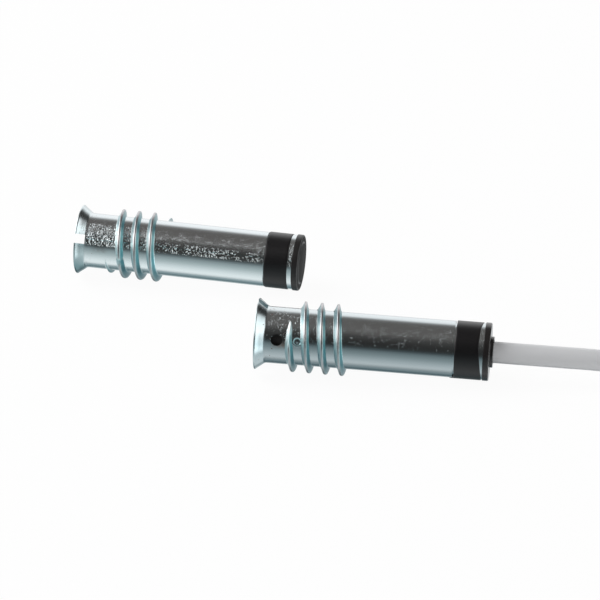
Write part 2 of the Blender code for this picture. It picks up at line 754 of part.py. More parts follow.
def cable_tail():
    """The cable's last part, which lies on the full layers beside the top turns."""
    span = TAIL_END - TAIL_START
    count = math.ceil(span * TAIL_RADIUS / CABLE_POINT_SPACING * 1.4)
    points = []
    for i in range(count + 1):
        angle = TAIL_START + span * i / count
        points.append(coil_point(tail_radius(angle), angle, TOP_LAYER_AT + TOUCH_GAP / 2))
    wire("cable_tail", points, CABLE_RADIUS, "white_pvc", None)


def stripped_cores():
    """The four cores past the end of the sheath, fanned over the coil, with tinned tips."""
    rests = FULL_LAYERS_TOP + TOUCH_GAP + CORE_RADIUS
    begin = TAIL_END + TOUCH_GAP / TAIL_RADIUS
    insulated = CORE_STRIPPED / TAIL_RADIUS
    bared = TIP_LENGTH / TAIL_RADIUS
    fan = (1, -1, 3, -3)
    for material, (off, up), share in zip(CORES, core_corners(), fan, strict=True):
        route = []
        for t in (0, 0.25, 0.5, 0.75, 1):
            radius = TAIL_RADIUS + off + (share * CORE_SPREAD - off) * t
            height = TOP_LAYER_AT + up + (rests - TOP_LAYER_AT - up) * t
            route.append(coil_point(radius, begin + insulated * t, height))
        core_points = smooth_points(route, 3.4 * CORE_DIAMETER)
        wire(material, core_points, CORE_RADIUS, material, None, resolution=1)
        ahead = begin + insulated + TOUCH_GAP / TAIL_RADIUS
        radius = TAIL_RADIUS + share * CORE_SPREAD
        tip = [coil_point(radius, ahead + bared * t, rests) for t in (0, 0.5, 1)]
        name = material.replace("core", "tip")
        wire(name, tip, TIP_DIAMETER / 2, "tinned_copper", None, resolution=1)


def coil_tie():
    """The plastic tie that runs once round the coil's section."""
    inside = FIRST_COLUMN - CABLE_RADIUS - TOUCH_GAP
    outside = LAST_COLUMN + CABLE_RADIUS + TOUCH_GAP
    top = TOP_LAYER_AT + CABLE_RADIUS + 2 * TOUCH_GAP
    middle = (TIE_THICKNESS + top) / 2
    centre = coil_point((inside + outside) / 2, TIE_ANGLE, middle)
    turn = Matrix.Rotation(TIE_ANGLE, 3, "Z")
    hollow = (outside - inside, TIE_WIDTH * 2, top - TIE_THICKNESS)
    whole = (hollow[0] + 2 * TIE_THICKNESS, TIE_WIDTH, hollow[2] + 2 * TIE_THICKNESS)
    band = place(block_object("coil_tie", whole, centre, turn), "tie_plastic", None)
    inner = place_cutter(block_object("coil_tie_inside", hollow, centre, turn), None)
    combine(band, inner, "DIFFERENCE")


clear_scene()
PARTS = new_collection("magnetic_contact")
CUTTERS = new_collection("cutters")
magnet_unit()
switch = switch_unit()
cable(switch)
coil()
cable_tail()
stripped_cores()
coil_tie()
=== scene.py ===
"""Looks of the magnetic contact: a switch unit on its cable, and its magnet unit."""

import json
import math
import random

import bpy
from mathutils import Matrix, Vector


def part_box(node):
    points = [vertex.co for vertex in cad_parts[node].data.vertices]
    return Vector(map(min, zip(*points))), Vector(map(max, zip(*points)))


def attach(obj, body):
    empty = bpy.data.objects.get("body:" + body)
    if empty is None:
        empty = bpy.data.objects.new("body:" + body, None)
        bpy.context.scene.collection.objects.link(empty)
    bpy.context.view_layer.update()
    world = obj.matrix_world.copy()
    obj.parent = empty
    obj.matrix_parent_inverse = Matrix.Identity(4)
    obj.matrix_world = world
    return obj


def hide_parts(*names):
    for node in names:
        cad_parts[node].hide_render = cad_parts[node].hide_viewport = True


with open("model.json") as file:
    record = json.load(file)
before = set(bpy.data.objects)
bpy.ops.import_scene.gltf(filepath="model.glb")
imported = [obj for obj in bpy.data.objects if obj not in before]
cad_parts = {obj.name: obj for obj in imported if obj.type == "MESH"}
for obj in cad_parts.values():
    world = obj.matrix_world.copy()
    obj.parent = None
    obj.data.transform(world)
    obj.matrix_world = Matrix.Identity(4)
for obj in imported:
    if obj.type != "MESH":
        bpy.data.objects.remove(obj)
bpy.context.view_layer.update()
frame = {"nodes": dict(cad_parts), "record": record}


# Camera. It looks down at both units from the near side, a little from the cable's end, from so
# far off that the barrels hardly taper.
MM = 0.001
VIEW_TARGET = Vector((2.3, 11.57, 0.0)) * MM
VIEW_DISTANCE = 950 * MM
VIEW_ELEVATION = math.radians(23.56)
VIEW_AZIMUTH = math.radians(5.846)
LENS = 312.98
SENSOR_WIDTH = 36.0
NEAREST_SEEN = 50 * MM
FARTHEST_SEEN = 20000 * MM

towards_camera = Vector(
    (
        math.sin(VIEW_AZIMUTH) * math.cos(VIEW_ELEVATION),
        -math.cos(VIEW_AZIMUTH) * math.cos(VIEW_ELEVATION),
        math.sin(VIEW_ELEVATION),
    )
)
bpy.ops.object.camera_add(location=VIEW_TARGET + towards_camera * VIEW_DISTANCE)
camera = bpy.context.object
camera.name = "camera"
camera.rotation_euler = (-towards_camera).to_track_quat("-Z", "Y").to_euler()
camera.data.lens = LENS
camera.data.sensor_width = SENSOR_WIDTH
camera.data.clip_start = NEAREST_SEEN
camera.data.clip_end = FARTHEST_SEEN
bpy.context.scene.camera = camera


# Cable. Four cores in a round sheath of extruded white PVC. It leaves the plug's boss straight,
# comes down to the floor and is wound into a neat coil of four layers beside the units.
CABLE_DIAMETER = 3.8 * MM
CABLE_RADIUS = CABLE_DIAMETER / 2
CABLE_ROUTE = (
    (52.5 * MM, -19.62 * MM, 4.70 * MM),
    (59.0 * MM, -19.55 * MM, 4.38 * MM),
    (66.5 * MM, -19.50 * MM, 3.45 * MM),
    (75.0 * MM, -19.50 * MM, 2.35 * MM),
    (86.5 * MM, -19.50 * MM, 1.96 * MM),
)
CABLE_INSIDE_PLUG = 7.5 * MM
TURN_SPACING = 3.85 * MM
COLUMNS_BY_LAYER = ((3, 2, 1, 0), (0, 1, 2, 3), (3, 2, 1, 0), (0, 1))
TAIL_RADIUS = 25.0 * MM
# Arcs of the coil in degrees, and angles round it in degrees from +X.
STEP_ARC = 80
STEP_LAG = 26
MEETS_COIL_AT = -90
TAIL_SWING = 90
TAIL_END = 156
TIE_ANGLE = 62

TIE_THICKNESS = 0.6 * MM
TIE_LIFT_REACH = 9 * MM
POINTS_PER_TURN = 60
ROUTE_POINT_SPACING = 3 * MM
SHEATH_WAVES = 0.26
SHEATH_WAVE_DEPTH = 0.2 * MM
SHEATH_WAVE_STRENGTH = 0.25

turns = [(column, layer) for layer, row in enumerate(COLUMNS_BY_LAYER) for column in row]
coil_low, coil_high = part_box("cable_coil")
coil_middle = (coil_low + coil_high) / 2
last_column = (coil_high.x - coil_low.x) / 2 - CABLE_RADIUS
first_column = last_column - max(COLUMNS_BY_LAYER[0]) * TURN_SPACING


def linear(code):
    """The linear colour of an sRGB hex value such as "c0c0c0"."""
    shares = [int(code[i : i + 2], 16) / 255 for i in (0, 2, 4)]
    return tuple(s / 12.92 if s <= 0.04045 else ((s + 0.055) / 1.055) ** 2.4 for s in shares)


def add_node(tree, kind, settings=None, inputs=None):
    """Adds a node. An input is a value, a socket to link to it, or a node for its first output."""
    node = tree.nodes.new(kind)
    for name, value in (settings or {}).items():
        setattr(node, name, value)
    for name, value in (inputs or {}).items():
        if isinstance(value, bpy.types.Node):
            value = value.outputs[0]
        if isinstance(value, bpy.types.NodeSocket):
            tree.links.new(value, node.inputs[name])
        else:
            node.inputs[name].default_value = value
    return node


def new_material(name, colour, roughness, metallic=0.0, **more):
    """A material with its Principled shader set, to add patterns to."""
    made = bpy.data.materials.new(name)
    made.use_nodes = True
    shader = made.node_tree.nodes["Principled BSDF"]
    shader.inputs["Base Color"].default_value = (*linear(colour), 1.0)
    shader.inputs["Roughness"].default_value = roughness
    shader.inputs["Metallic"].default_value = metallic
    for name, value in more.items():
        shader.inputs[name.replace("_", " ")].default_value = value
    return made


def unit_frame(mount_name):
    """A unit's own frame, in mm: x up, y to the near side, z from the head's rim to the plug."""
    mount = next(m for m in frame["record"]["mounts"] if m["name"] == mount_name)
    along = -Vector(mount["axis"]).normalized()
    near = along.cross(Vector((0, 0, 1))).normalized()
    up = near.cross(along)
    head = Vector(mount["pos_m"]) - near * RIM_MIDDLE * MM
    turn = Matrix((up, near, along)).transposed().to_4x4()
    return Matrix.Translation(head) @ turn @ Matrix.Scale(MM, 4)


FLARE_RADIUS = 6.3
FLARE_WALL = 0.85
RIM_EDGE = 0.15
RIM_INSIDE = FLARE_RADIUS - FLARE_WALL * math.sqrt(2)
RIM_MIDDLE = (RIM_INSIDE + FLARE_RADIUS - RIM_EDGE) / 2
BOSS_END = 41.9
SWITCH_FRAME = unit_frame("switch_head_face")
MAGNET_FRAME = unit_frame("magnet_head_face")


def smooth(share):
    """A share from 0 to 1 that starts and ends evenly."""
    share = max(0.0, min(1.0, share))
    return share * share * (3 - 2 * share)


def smooth_points(route, spacing):
    """Points about one spacing apart on a smooth curve through a route's points."""
    knots = [Vector(p) for p in route]
    knots = [2 * knots[0] - knots[1], *knots, 2 * knots[-1] - knots[-2]]
    found = []
    for a, b, c, d in zip(knots, knots[1:], knots[2:], knots[3:], strict=False):
        count = max(1, round((c - b).length / spacing))
        for i in range(count):
            t = i / count
            found.append(
                0.5 * (2 * b + (c - a) * t + (2 * a - 5 * b + 4 * c - d) * t**2)
                + 0.5 * (3 * b - a - 3 * c + d) * t**3
            )
    return [*found, knots[-2]]


def column_radius(column):
    return first_column + column * TURN_SPACING


def layer_height(layer):
    return CABLE_RADIUS + layer * TURN_SPACING


def wound_at(degrees):
    """Radius and height of the wound cable, so many degrees after it meets the coil.

    Near the end of each turn it steps to the next column or layer. Each step starts a little
    before the one below it, so the turns never run into each other. The last one is the tail.
    """
    turn = min(int(degrees // 360), len(turns) - 1)
    within = degrees - 360 * turn
    column, layer = turns[turn]
    radius, height = column_radius(column), layer_height(layer)
    if turn + 1 == len(turns):
        return radius + (TAIL_RADIUS - radius) * smooth(within / TAIL_SWING), height
    next_column, next_layer = turns[turn + 1]
    step_from = 360 - STEP_ARC - 2 * STEP_LAG * layer
    if next_layer != layer:
        step_from -= STEP_LAG
    share = smooth((within - step_from) / STEP_ARC)
    radius += (column_radius(next_column) - radius) * share
    height += (layer_height(next_layer) - height) * share
    return radius, height


def coil_point(degrees, radius, height):
    """A point on the coil, at that angle from +X. The cable is lifted where it lies on the tie."""
    angle = math.radians(degrees)
    off_tie = radius * math.remainder(angle - math.radians(TIE_ANGLE), math.tau)
    height += TIE_THICKNESS * math.exp(-((off_tie / TIE_LIFT_REACH) ** 2))
    return Vector(
        (
            coil_middle.x + radius * math.cos(angle),
            coil_middle.y + radius * math.sin(angle),
            height,
        )
    )


def tube(name, points, radius, resolution):
    """A round tube along a list of points, closed by flat ends."""
    path = bpy.data.curves.new(name, "CURVE")
    path.dimensions = "3D"
    path.bevel_depth = radius
    path.bevel_resolution = resolution
    path.use_fill_caps = True
    line = path.splines.new("POLY")
    line.points.add(len(points) - 1)
    for knot, point in zip(line.points, points, strict=True):
        knot.co = (*point, 1)
    line.use_smooth = True
    piece = bpy.data.objects.new(name, path)
    bpy.context.scene.collection.objects.link(piece)
    return piece


def dress(piece, material, slot, *nodes):
    """Gives a finished piece its material and its body, and hides the nodes it stands for. Its
    slot is not used.
    """
    piece.data.materials.clear()
    piece.data.materials.append(material)
    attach(piece, "root")
    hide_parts(*nodes)


# Extruded PVC has a satin skin, so its lights are broad and soft. The cores under it make it wave
# very slightly, about once in 4 mm.
sheath_pvc = new_material("extruded_white_pvc", "d6d7d9", 0.42)
tree = sheath_pvc.node_tree
place = add_node(tree, "ShaderNodeTexCoord")
waves = add_node(
    tree,
    "ShaderNodeTexNoise",
    inputs={"Vector": place.outputs["Object"], "Scale": SHEATH_WAVES / MM, "Detail": 2.0},
)
waved = add_node(
    tree,
    "ShaderNodeBump",
    inputs={
        "Height": waves,
        "Strength": SHEATH_WAVE_STRENGTH,
        "Distance": SHEATH_WAVE_DEPTH,
    },
)
tree.links.new(waved.outputs["Normal"], tree.nodes["Principled BSDF"].inputs["Normal"])

exit_point = SWITCH_FRAME @ Vector((0, 0, BOSS_END))
along = (SWITCH_FRAME.to_3x3() @ Vector((0, 0, 1))).normalized()
meets_coil = coil_point(MEETS_COIL_AT, *wound_at(0))
route = [exit_point - along * CABLE_INSIDE_PLUG, exit_point, exit_point + along * CABLE_DIAMETER]
cable_points = smooth_points([*route, *CABLE_ROUTE, meets_coil], ROUTE_POINT_SPACING)
wound_degrees = 360 * (len(turns) - 1) + TAIL_END - MEETS_COIL_AT
wound_steps = round(wound_degrees / 360 * POINTS_PER_TURN)
for i in range(1, wound_steps + 1):
    wound = wound_degrees * i / wound_steps
    cable_points.append(coil_point(wound + MEETS_COIL_AT, *wound_at(wound)))
cable = tube("cable_sheath", cable_points, CABLE_RADIUS, resolution=7)
dress(cable, sheath_pvc, "white_pvc", "cable", "cable_coil", "cable_tail")


# Cores. Four copper wires in coloured insulation, stripped of the sheath at the far end, fanned
# out over the coil. The last 6 mm of each is bared, twisted and tinned.
CORE_RADIUS = 0.52 * MM
CORE_OFF_AXIS = 0.75 * MM
CORE_STRIPPED = 27.0 * MM
CORE_SPREAD = 1.0 * MM
CORE_INTO_SHEATH = 0.6 * MM
CORE_POINT_SPACING = 1.2 * MM
TIP_LENGTH = 6.0 * MM
TIP_POINT_SPACING = 0.3 * MM
TOUCH_GAP = 0.3 * MM
OUTER_STRANDS = 6
STRAND_RADIUS = 0.115 * MM
STRAND_PITCH = 5.0 * MM
CORES = (
    # colour, its value, side of the sheath's axis (out, up), place in the fan
    ("white", "e2e2de", (1, 1), 1),
    ("brown", "5a3620", (-1, 1), -1),
    ("green", "2c7a3d", (1, -1), 3),
    ("yellow", "dcb629", (-1, -1), -3),
)


def strands(name, points):
    """A wire of twisted strands along a list of points: one in the middle, the others round it."""
    path = bpy.data.curves.new(name, "CURVE")
    path.dimensions = "3D"
    path.bevel_depth = STRAND_RADIUS
    path.bevel_resolution = 2
    path.use_fill_caps = True
    for line_number in (None, *range(OUTER_STRANDS)):
        line = path.splines.new("POLY")
        line.points.add(len(points) - 1)
        run = 0.0
        for i, point in enumerate(points):
            ahead = (points[min(i + 1, len(points) - 1)] - points[max(i - 1, 0)]).normalized()
            side = ahead.cross(Vector((0, 0, 1))).normalized()
            up = side.cross(ahead)
            offset = Vector((0, 0, 0))
            if line_number is not None:
                angle = math.tau * (line_number / OUTER_STRANDS + run / STRAND_PITCH)
                offset = (side * math.cos(angle) + up * math.sin(angle)) * 2 * STRAND_RADIUS
            line.points[i].co = (*(point + offset), 1)
            if i + 1 < len(points):
                run += (points[i + 1] - point).length
        line.use_smooth = True
    piece = bpy.data.objects.new(name, path)
    bpy.context.scene.collection.objects.link(piece)
    return piece


# Dipped tin is a soft bright metal, which gives each strand one clear light along it. The cores'
# own PVC is thin and coloured through, a little glossier than the sheath.
tinned = new_material("dipped_tinned_copper", "cfcdc8", 0.28, 1.0)
core_pieces = []
top_layer = turns[-1][1]
full_layers_top = layer_height(top_layer - 1) + CABLE_RADIUS
core_rests = full_layers_top + CORE_RADIUS + TOUCH_GAP / 2
tail_height = layer_height(top_layer)
degrees_per_metre = math.degrees(1 / TAIL_RADIUS)
for colour_name, code, (out_sign, up_sign), share in CORES:
    insulation = new_material(f"extruded_{colour_name}_core_pvc", code, 0.35)
    core_route = []
    begin = TAIL_END - CORE_INTO_SHEATH * degrees_per_metre
    for t in (0, 0.25, 0.5, 0.75, 1):
        out = CORE_OFF_AXIS * out_sign
        up = CORE_OFF_AXIS * up_sign
        radius = TAIL_RADIUS + out + (share * CORE_SPREAD - out) * t
        height = tail_height + up + (core_rests - tail_height - up) * t
        core_route.append(
            coil_point(begin + CORE_STRIPPED * degrees_per_metre * t, radius, height)
        )
    core_points = smooth_points(core_route, CORE_POINT_SPACING)
    core = tube(f"{colour_name}_core", core_points, CORE_RADIUS, resolution=4)
    dress(core, insulation, f"core_{colour_name}", f"core_{colour_name}")
    tip_route = []
    tip_from = begin + (CORE_STRIPPED - TOUCH_GAP) * degrees_per_metre
    for t in (0, 0.5, 1):
        reach = TIP_LENGTH * degrees_per_metre * t
        tip_route.append(
            coil_point(tip_from + reach, TAIL_RADIUS + share * CORE_SPREAD, core_rests)
        )
    tip = strands(f"{colour_name}_tip", smooth_points(tip_route, TIP_POINT_SPACING))
    dress(tip, tinned, "tinned_copper", f"tip_{colour_name}")
    core_pieces += [core, tip]


# Tie. A cable tie moulded from natural nylon: a flat band with a square lock at one end. It is
# drawn once round the coil's section, through its own lock, and its tail is cut off there. Its
# sizes are in mm.
TIE_WIDTH = 3.0
TIE_BAND = TIE_THICKNESS / MM
TIE_CORNER = 1.6
TIE_EDGE = 0.12
TIE_SLACK = 0.3
TIE_LOCK = (4.6, 4.4, 3.0)
LOCK_FROM_OUTSIDE = 4.2
LOCK_EDGE = 0.45
STUB_LENGTH = 1.6
STUB_NARROWER = 0.4
STUB_FROM_LOCK = 3.0
STUB_UP = 1.5
STUB_EDGE = 0.1
SHARP_ANGLE = 35
tie_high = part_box("coil_tie")[1]


def add_block(name, size, centre):
    """A box as a new piece, selected alone, with its size and place in its mesh."""
    bpy.ops.object.select_all(action="DESELECT")
    bpy.ops.mesh.primitive_cube_add(size=1.0, location=centre)
    piece = bpy.context.object
    piece.name = name
    piece.scale = size
    bpy.ops.object.transform_apply(location=True, rotation=True, scale=True)
    return piece


def select_only(piece):
    bpy.ops.object.select_all(action="DESELECT")
    piece.select_set(True)
    bpy.context.view_layer.objects.active = piece


def pick(piece, kind, test):
    """Selects the faces or edges of a piece that pass a test, and enters edit mode."""
    select_only(piece)
    bpy.ops.object.mode_set(mode="EDIT")
    bpy.ops.mesh.select_mode(type=kind)
    bpy.ops.mesh.select_all(action="DESELECT")
    bpy.ops.object.mode_set(mode="OBJECT")
    for item in {"EDGE": piece.data.edges, "FACE": piece.data.polygons}[kind]:
        item.select = bool(test(item))
    bpy.ops.object.mode_set(mode="EDIT")


def apply_all(piece):
    select_only(piece)
    for modifier in list(piece.modifiers):
        bpy.ops.object.modifier_apply(modifier=modifier.name)


def settle(piece, matrix):
    """Puts a piece that was made in its own frame where it belongs, with its place in its mesh."""
    select_only(piece)
    piece.matrix_world = matrix
    bpy.context.view_layer.update()
    bpy.ops.object.transform_apply(location=True, rotation=True, scale=True)


def bevel_modifier(piece, width, segments=2):
    step = piece.modifiers.new("edge", "BEVEL")
    step.width = width
    step.segments = segments
    step.limit_method = "ANGLE"
    step.angle_limit = math.radians(SHARP_ANGLE)


def smooth_shade(piece, angle=SHARP_ANGLE):
    select_only(piece)
    bpy.ops.object.shade_smooth_by_angle(angle=math.radians(angle))


def runs_across(edge):
    """Whether an edge of the tie's block runs across its band."""
    start, end = (tie.data.vertices[i].co for i in edge.vertices)
    return abs(start.y - end.y) > TIE_WIDTH / 2


def faces_sideways(face):
    """Whether a face of the tie's block closes one of its open sides."""
    return abs(face.normal.y) > 0.9


tie_inside_low = (first_column - CABLE_RADIUS) / MM - TIE_SLACK
tie_inside_high = (last_column + CABLE_RADIUS) / MM + TIE_SLACK
tie_top = tie_high.z / MM - TIE_BAND
tie_centre = ((tie_inside_low + tie_inside_high) / 2, 0, (TIE_BAND + tie_top) / 2)
tie_size = (tie_inside_high - tie_inside_low, TIE_WIDTH, tie_top - TIE_BAND)
tie = add_block("nylon_tie", tie_size, tie_centre)
pick(tie, "EDGE", runs_across)
bpy.ops.mesh.bevel(offset=TIE_CORNER, segments=5, affect="EDGES")
bpy.ops.object.mode_set(mode="OBJECT")
pick(tie, "FACE", faces_sideways)
bpy.ops.mesh.delete(type="FACE")
bpy.ops.object.mode_set(mode="OBJECT")
wall = tie.modifiers.new("wall", "SOLIDIFY")
wall.thickness = TIE_BAND
wall.offset = 1.0
bevel_modifier(tie, TIE_EDGE)
apply_all(tie)
lock_at = tie_inside_high - LOCK_FROM_OUTSIDE
lock = add_block("tie_lock", TIE_LOCK, (lock_at, 0, tie_top + TIE_LOCK[2] / 2))
bevel_modifier(lock, LOCK_EDGE, segments=3)
apply_all(lock)
stub_size = (STUB_LENGTH, TIE_WIDTH - STUB_NARROWER, TIE_BAND)
stub = add_block("tie_stub", stub_size, (lock_at - STUB_FROM_LOCK, 0, tie_top + STUB_UP))
bevel_modifier(stub, STUB_EDGE)
apply_all(stub)
select_only(tie)
lock.select_set(True)
stub.select_set(True)
bpy.ops.object.join()
turn = Matrix.Rotation(math.radians(TIE_ANGLE), 4, "Z")
spot = Matrix.Translation((coil_middle.x, coil_middle.y, 0))
settle(tie, spot @ turn @ Matrix.Scale(MM, 4))
smooth_shade(tie)
# Natural nylon is a warm, slightly grey white with a satin gloss.
nylon = new_material("moulded_natural_nylon", "d3d2cb", 0.38)
dress(tie, nylon, "tie_plastic", "coil_tie")


# Studio. A white floor under a large soft lamp, with a second, weaker one for the near side.
# Bright card stands round the back and the sides, and the ceiling and the near side are dark,
# which is what the plating shows.
FLOOR_SIZE = 6000 * MM
FLOOR_GAP = 0.02 * MM
FLOOR_WHITE = (*linear("f7f7f7"), 1)
FLOOR_SEEN_WHITE = 0.95
ROOM_LIGHT = 0.38
WHITE = (1, 1, 1, 1)

bpy.ops.mesh.primitive_plane_add(size=FLOOR_SIZE, location=(0, 0, -FLOOR_GAP))
floor = bpy.context.object
floor.name = "floor"
floor.visible_glossy = False
# Matt white paint. The camera sees it nearly as pure white, with a trace of the shadows.
floor_white = bpy.data.materials.new("matt_white_floor")
floor_white.use_nodes = True
tree = floor_white.node_tree
tree.nodes.clear()
rays = add_node(tree, "ShaderNodeLightPath")
lit = add_node(tree, "ShaderNodeBsdfDiffuse", inputs={"Color": FLOOR_WHITE})
glow = add_node(tree, "ShaderNodeEmission", inputs={"Color": WHITE, "Strength": 1.0})
seen = add_node(
    tree,
    "ShaderNodeMath",
    {"operation": "MULTIPLY"},
    {0: rays.outputs["Is Camera Ray"], 1: FLOOR_SEEN_WHITE},
)
both = add_node(tree, "ShaderNodeMixShader", inputs={0: seen, 1: lit, 2: glow})
add_node(tree, "ShaderNodeOutputMaterial", inputs={"Surface": both})
floor.data.materials.append(floor_white)

# What the plating mirrors, by bearing (0 towards the camera, positive to the right) and
# elevation: a dark room over a pale table, with bright card behind and at both sides.
NEAR_LEVELS = (
    (-90, "a0a8aa"),
    (-72, "f6f9fa"),
    (-50, "d9e0e2"),
    (-30, "aeb9bb"),
    (-12, "8b979a"),
    (-4, "606a6d"),
    (4, "3f4040"),
    (15, "3a3938"),
    (25, "3b3a39"),
    (45, "4b4a49"),
    (58, "676462"),
    (68, "706c6a"),
    (90, "706c6a"),
)
BACK_LEVELS = (
    (-90, "a0a8aa"),
    (-80, "a9b6ba"),
    (-66, "667a80"),
    (-58, "5f757a"),
    (-40, "c8d0d2"),
    (-18, "fafbfc"),
    (0, "fafbfc"),
    (36, "fafbfc"),
    (42, "d8d9da"),
    (49, "8a8887"),
    (62, "6f6b69"),
    (90, "706c6a"),
)
BACK_FROM = {"From Min": 138, "From Max": 162}
STEEP_FROM = {"From Min": -58, "From Max": -72}
STEEP_WIDENING = 58
CARDS = (
    # bearing from and to, elevation from and to, softness of the edge, brightness
    (-128, -40, 6, 60, 7, 2.8),
    (-155, -127, -30, 38, 6, 0.8),
    (65, 112, -38, 36, 8, 1.6),
    (150, 181, 4, 38, 5, 0.35),
    (-181, -150, 4, 38, 5, 0.35),
)

world = bpy.data.worlds.new("studio")
bpy.context.scene.world = world
world.use_nodes = True
tree = world.node_tree
tree.nodes.clear()
way = add_node(tree, "ShaderNodeTexCoord")
parts = add_node(tree, "ShaderNodeSeparateXYZ", inputs={0: way.outputs["Generated"]})
nearness = add_node(
    tree, "ShaderNodeMath", {"operation": "MULTIPLY"}, {0: parts.outputs["Y"], 1: -1}
)
sine = add_node(tree, "ShaderNodeMath", {"operation": "ARCSINE"}, {0: parts.outputs["Z"]})
turned = add_node(
    tree, "ShaderNodeMath", {"operation": "ARCTAN2"}, {0: parts.outputs["X"], 1: nearness}
)
elevation = add_node(tree, "ShaderNodeMath", {"operation": "DEGREES"}, {0: sine})
bearing = add_node(tree, "ShaderNodeMath", {"operation": "DEGREES"}, {0: turned})
off_near = add_node(tree, "ShaderNodeMath", {"operation": "ABSOLUTE"}, {0: bearing})
SMOOTH = {"interpolation_type": "SMOOTHSTEP"}


def all_of(tree, *shares):
    """Several shares multiplied together, which is high only where all of them are."""
    found = shares[0]
    for share in shares[1:]:
        found = add_node(tree, "ShaderNodeMath", {"operation": "MULTIPLY"}, {0: found, 1: share})
    return found


def band(tree, value, low, high, soft):
    """A share that is 1 between two limits and 0 outside them, with soft edges."""
    rise = {"Value": value, "From Min": low - soft, "From Max": low + soft}
    fall = {"Value": value, "From Min": high + soft, "From Max": high - soft}
    edges = [add_node(tree, "ShaderNodeMapRange", SMOOTH, limits) for limits in (rise, fall)]
    return all_of(tree, *edges)


def level_ramp(tree, value, levels):
    """The colour for a value, between the first level's value and the last one's."""
    first, last = levels[0][0], levels[-1][0]
    limits = {"From Min": first, "From Max": last}
    share = add_node(tree, "ShaderNodeMapRange", inputs={"Value": value, **limits})
    ramp = add_node(tree, "ShaderNodeValToRGB", inputs={"Fac": share})
    stops = ramp.color_ramp.elements
    while len(stops) < len(levels):
        stops.new(0.5)
    for stop, (at, code) in zip(stops, levels, strict=True):
        stop.position = (at - first) / (last - first)
        stop.color = (*linear(code), 1)
    return ramp


def lay_colours(tree, ground, *layers):
    """The socket of a ground colour with layers of (share, colour) over it.

    A Mix node takes colours at its inputs 6 and 7, and gives one at its output 2.
    """
    for share, colour in layers:
        inputs = {0: share, 6: ground, 7: colour}
        ground = add_node(tree, "ShaderNodeMix", {"data_type": "RGBA"}, inputs).outputs[2]
    return ground


near = level_ramp(tree, elevation, NEAR_LEVELS)
back = level_ramp(tree, elevation, BACK_LEVELS)
# Straight below, the back begins at a smaller bearing.
steep = add_node(tree, "ShaderNodeMapRange", SMOOTH, {"Value": elevation, **STEEP_FROM})
widened = add_node(
    tree,
    "ShaderNodeMath",
    {"operation": "MULTIPLY_ADD"},
    {0: steep, 1: STEEP_WIDENING, 2: off_near},
)
behind = add_node(tree, "ShaderNodeMapRange", SMOOTH, {"Value": widened, **BACK_FROM})
room = lay_colours(tree, near, (behind, back))
for left, right, low, high, soft, level in CARDS:
    wide = band(tree, bearing, left, right, soft)
    tall = band(tree, elevation, low, high, soft)
    card = all_of(tree, wide, tall, level)
    room = add_node(tree, "ShaderNodeVectorMath", {"operation": "ADD"}, {0: room, 1: card})
card_light = add_node(tree, "ShaderNodeBackground", inputs={"Color": room, "Strength": 1.0})
soft_light = add_node(
    tree, "ShaderNodeBackground", inputs={"Color": WHITE, "Strength": ROOM_LIGHT}
)
white = add_node(tree, "ShaderNodeBackground", inputs={"Color": WHITE, "Strength": 1.0})
rays = add_node(tree, "ShaderNodeLightPath")
mirrored = add_node(
    tree,
    "ShaderNodeMath",
    {"operation": "MAXIMUM"},
    {0: rays.outputs["Is Glossy Ray"], 1: rays.outputs["Is Transmission Ray"]},
)
lights = add_node(tree, "ShaderNodeMixShader", inputs={0: mirrored, 1: soft_light, 2: card_light})
all_rays = add_node(
    tree, "ShaderNodeMixShader", inputs={0: rays.outputs["Is Camera Ray"], 1: lights, 2: white}
)
add_node(tree, "ShaderNodeOutputWorld", inputs={"Surface": all_rays})

# Square soft lamps, in metres and watts, that face the units and don't show in the plating.
LAMPS = (
    ("key_lamp", (-0.7, 0.2, 0.7), 0.8, 7.5),
    ("near_lamp", (0.25, -0.75, 0.65), 0.9, 1.6),
)
for lamp_name, lamp_place, lamp_size, power in LAMPS:
    bpy.ops.object.light_add(type="AREA", location=lamp_place)
    lamp = bpy.context.object
    lamp.name = lamp_name
    lamp.data.shape = "SQUARE"
    lamp.data.size = lamp_size
    lamp.data.energy = power
    lamp.rotation_euler = Vector(lamp_place).to_track_quat("Z", "Y").to_euler()
    lamp.visible_glossy = False
bpy.context.scene.view_settings.view_transform = "Standard"


# Sleeves. Turned from steel tube, the head flared and slotted for a screwdriver, the coarse
# thread rolled up from the wall, then zinc-plated and blue-passivated. Only the switch unit's
# has a side hole and a stake mark. Sizes are in mm, and places are mm from the rim.
BARREL_RADIUS = 5.0
BORE_RADIUS = 4.2
SLEEVE_LENGTH = 40.65
END_CHAMFER = 0.15
FLARE_LENGTH = 1.8
GROOVE_RADIUS = 4.65
COLLAR_START = 35.0
COLLAR_END = 39.45
SLOT_WIDTH = 1.7
SLOT_DEPTH = 1.8
# How the flare and the edges of its mouth and bore are curved, by (out, back) from each corner.
FLARE_CURVE = ((0.0, 0.44), (0.02, 0.22), (0.1, 0.0), (0.24, -0.18), (0.68, -0.78))
FLARE_LAND = (-0.18, 0.43)
RIM_ROUND = 0.16
RIM_ROUND_AT = 0.2
MOUTH_EDGE = ((0.1, 0.04), (-0.04, 0.12))
BORE_EDGE = ((0.06, -0.04), (0.0, 0.12))
# The mesh: rows on the plain barrel (length and number), on its neck and on the thread, how many
# sides it has, how far inside the barrel's radius a point counts as on its outside, and how
# near points are merged.
BARREL_ROWS = (2.0, 8)
NECK_ROWS = (3.6, 2.8)
ROW = 0.06
AROUND = 192
SKIN = 0.1
MERGED_WITHIN = 0.0005
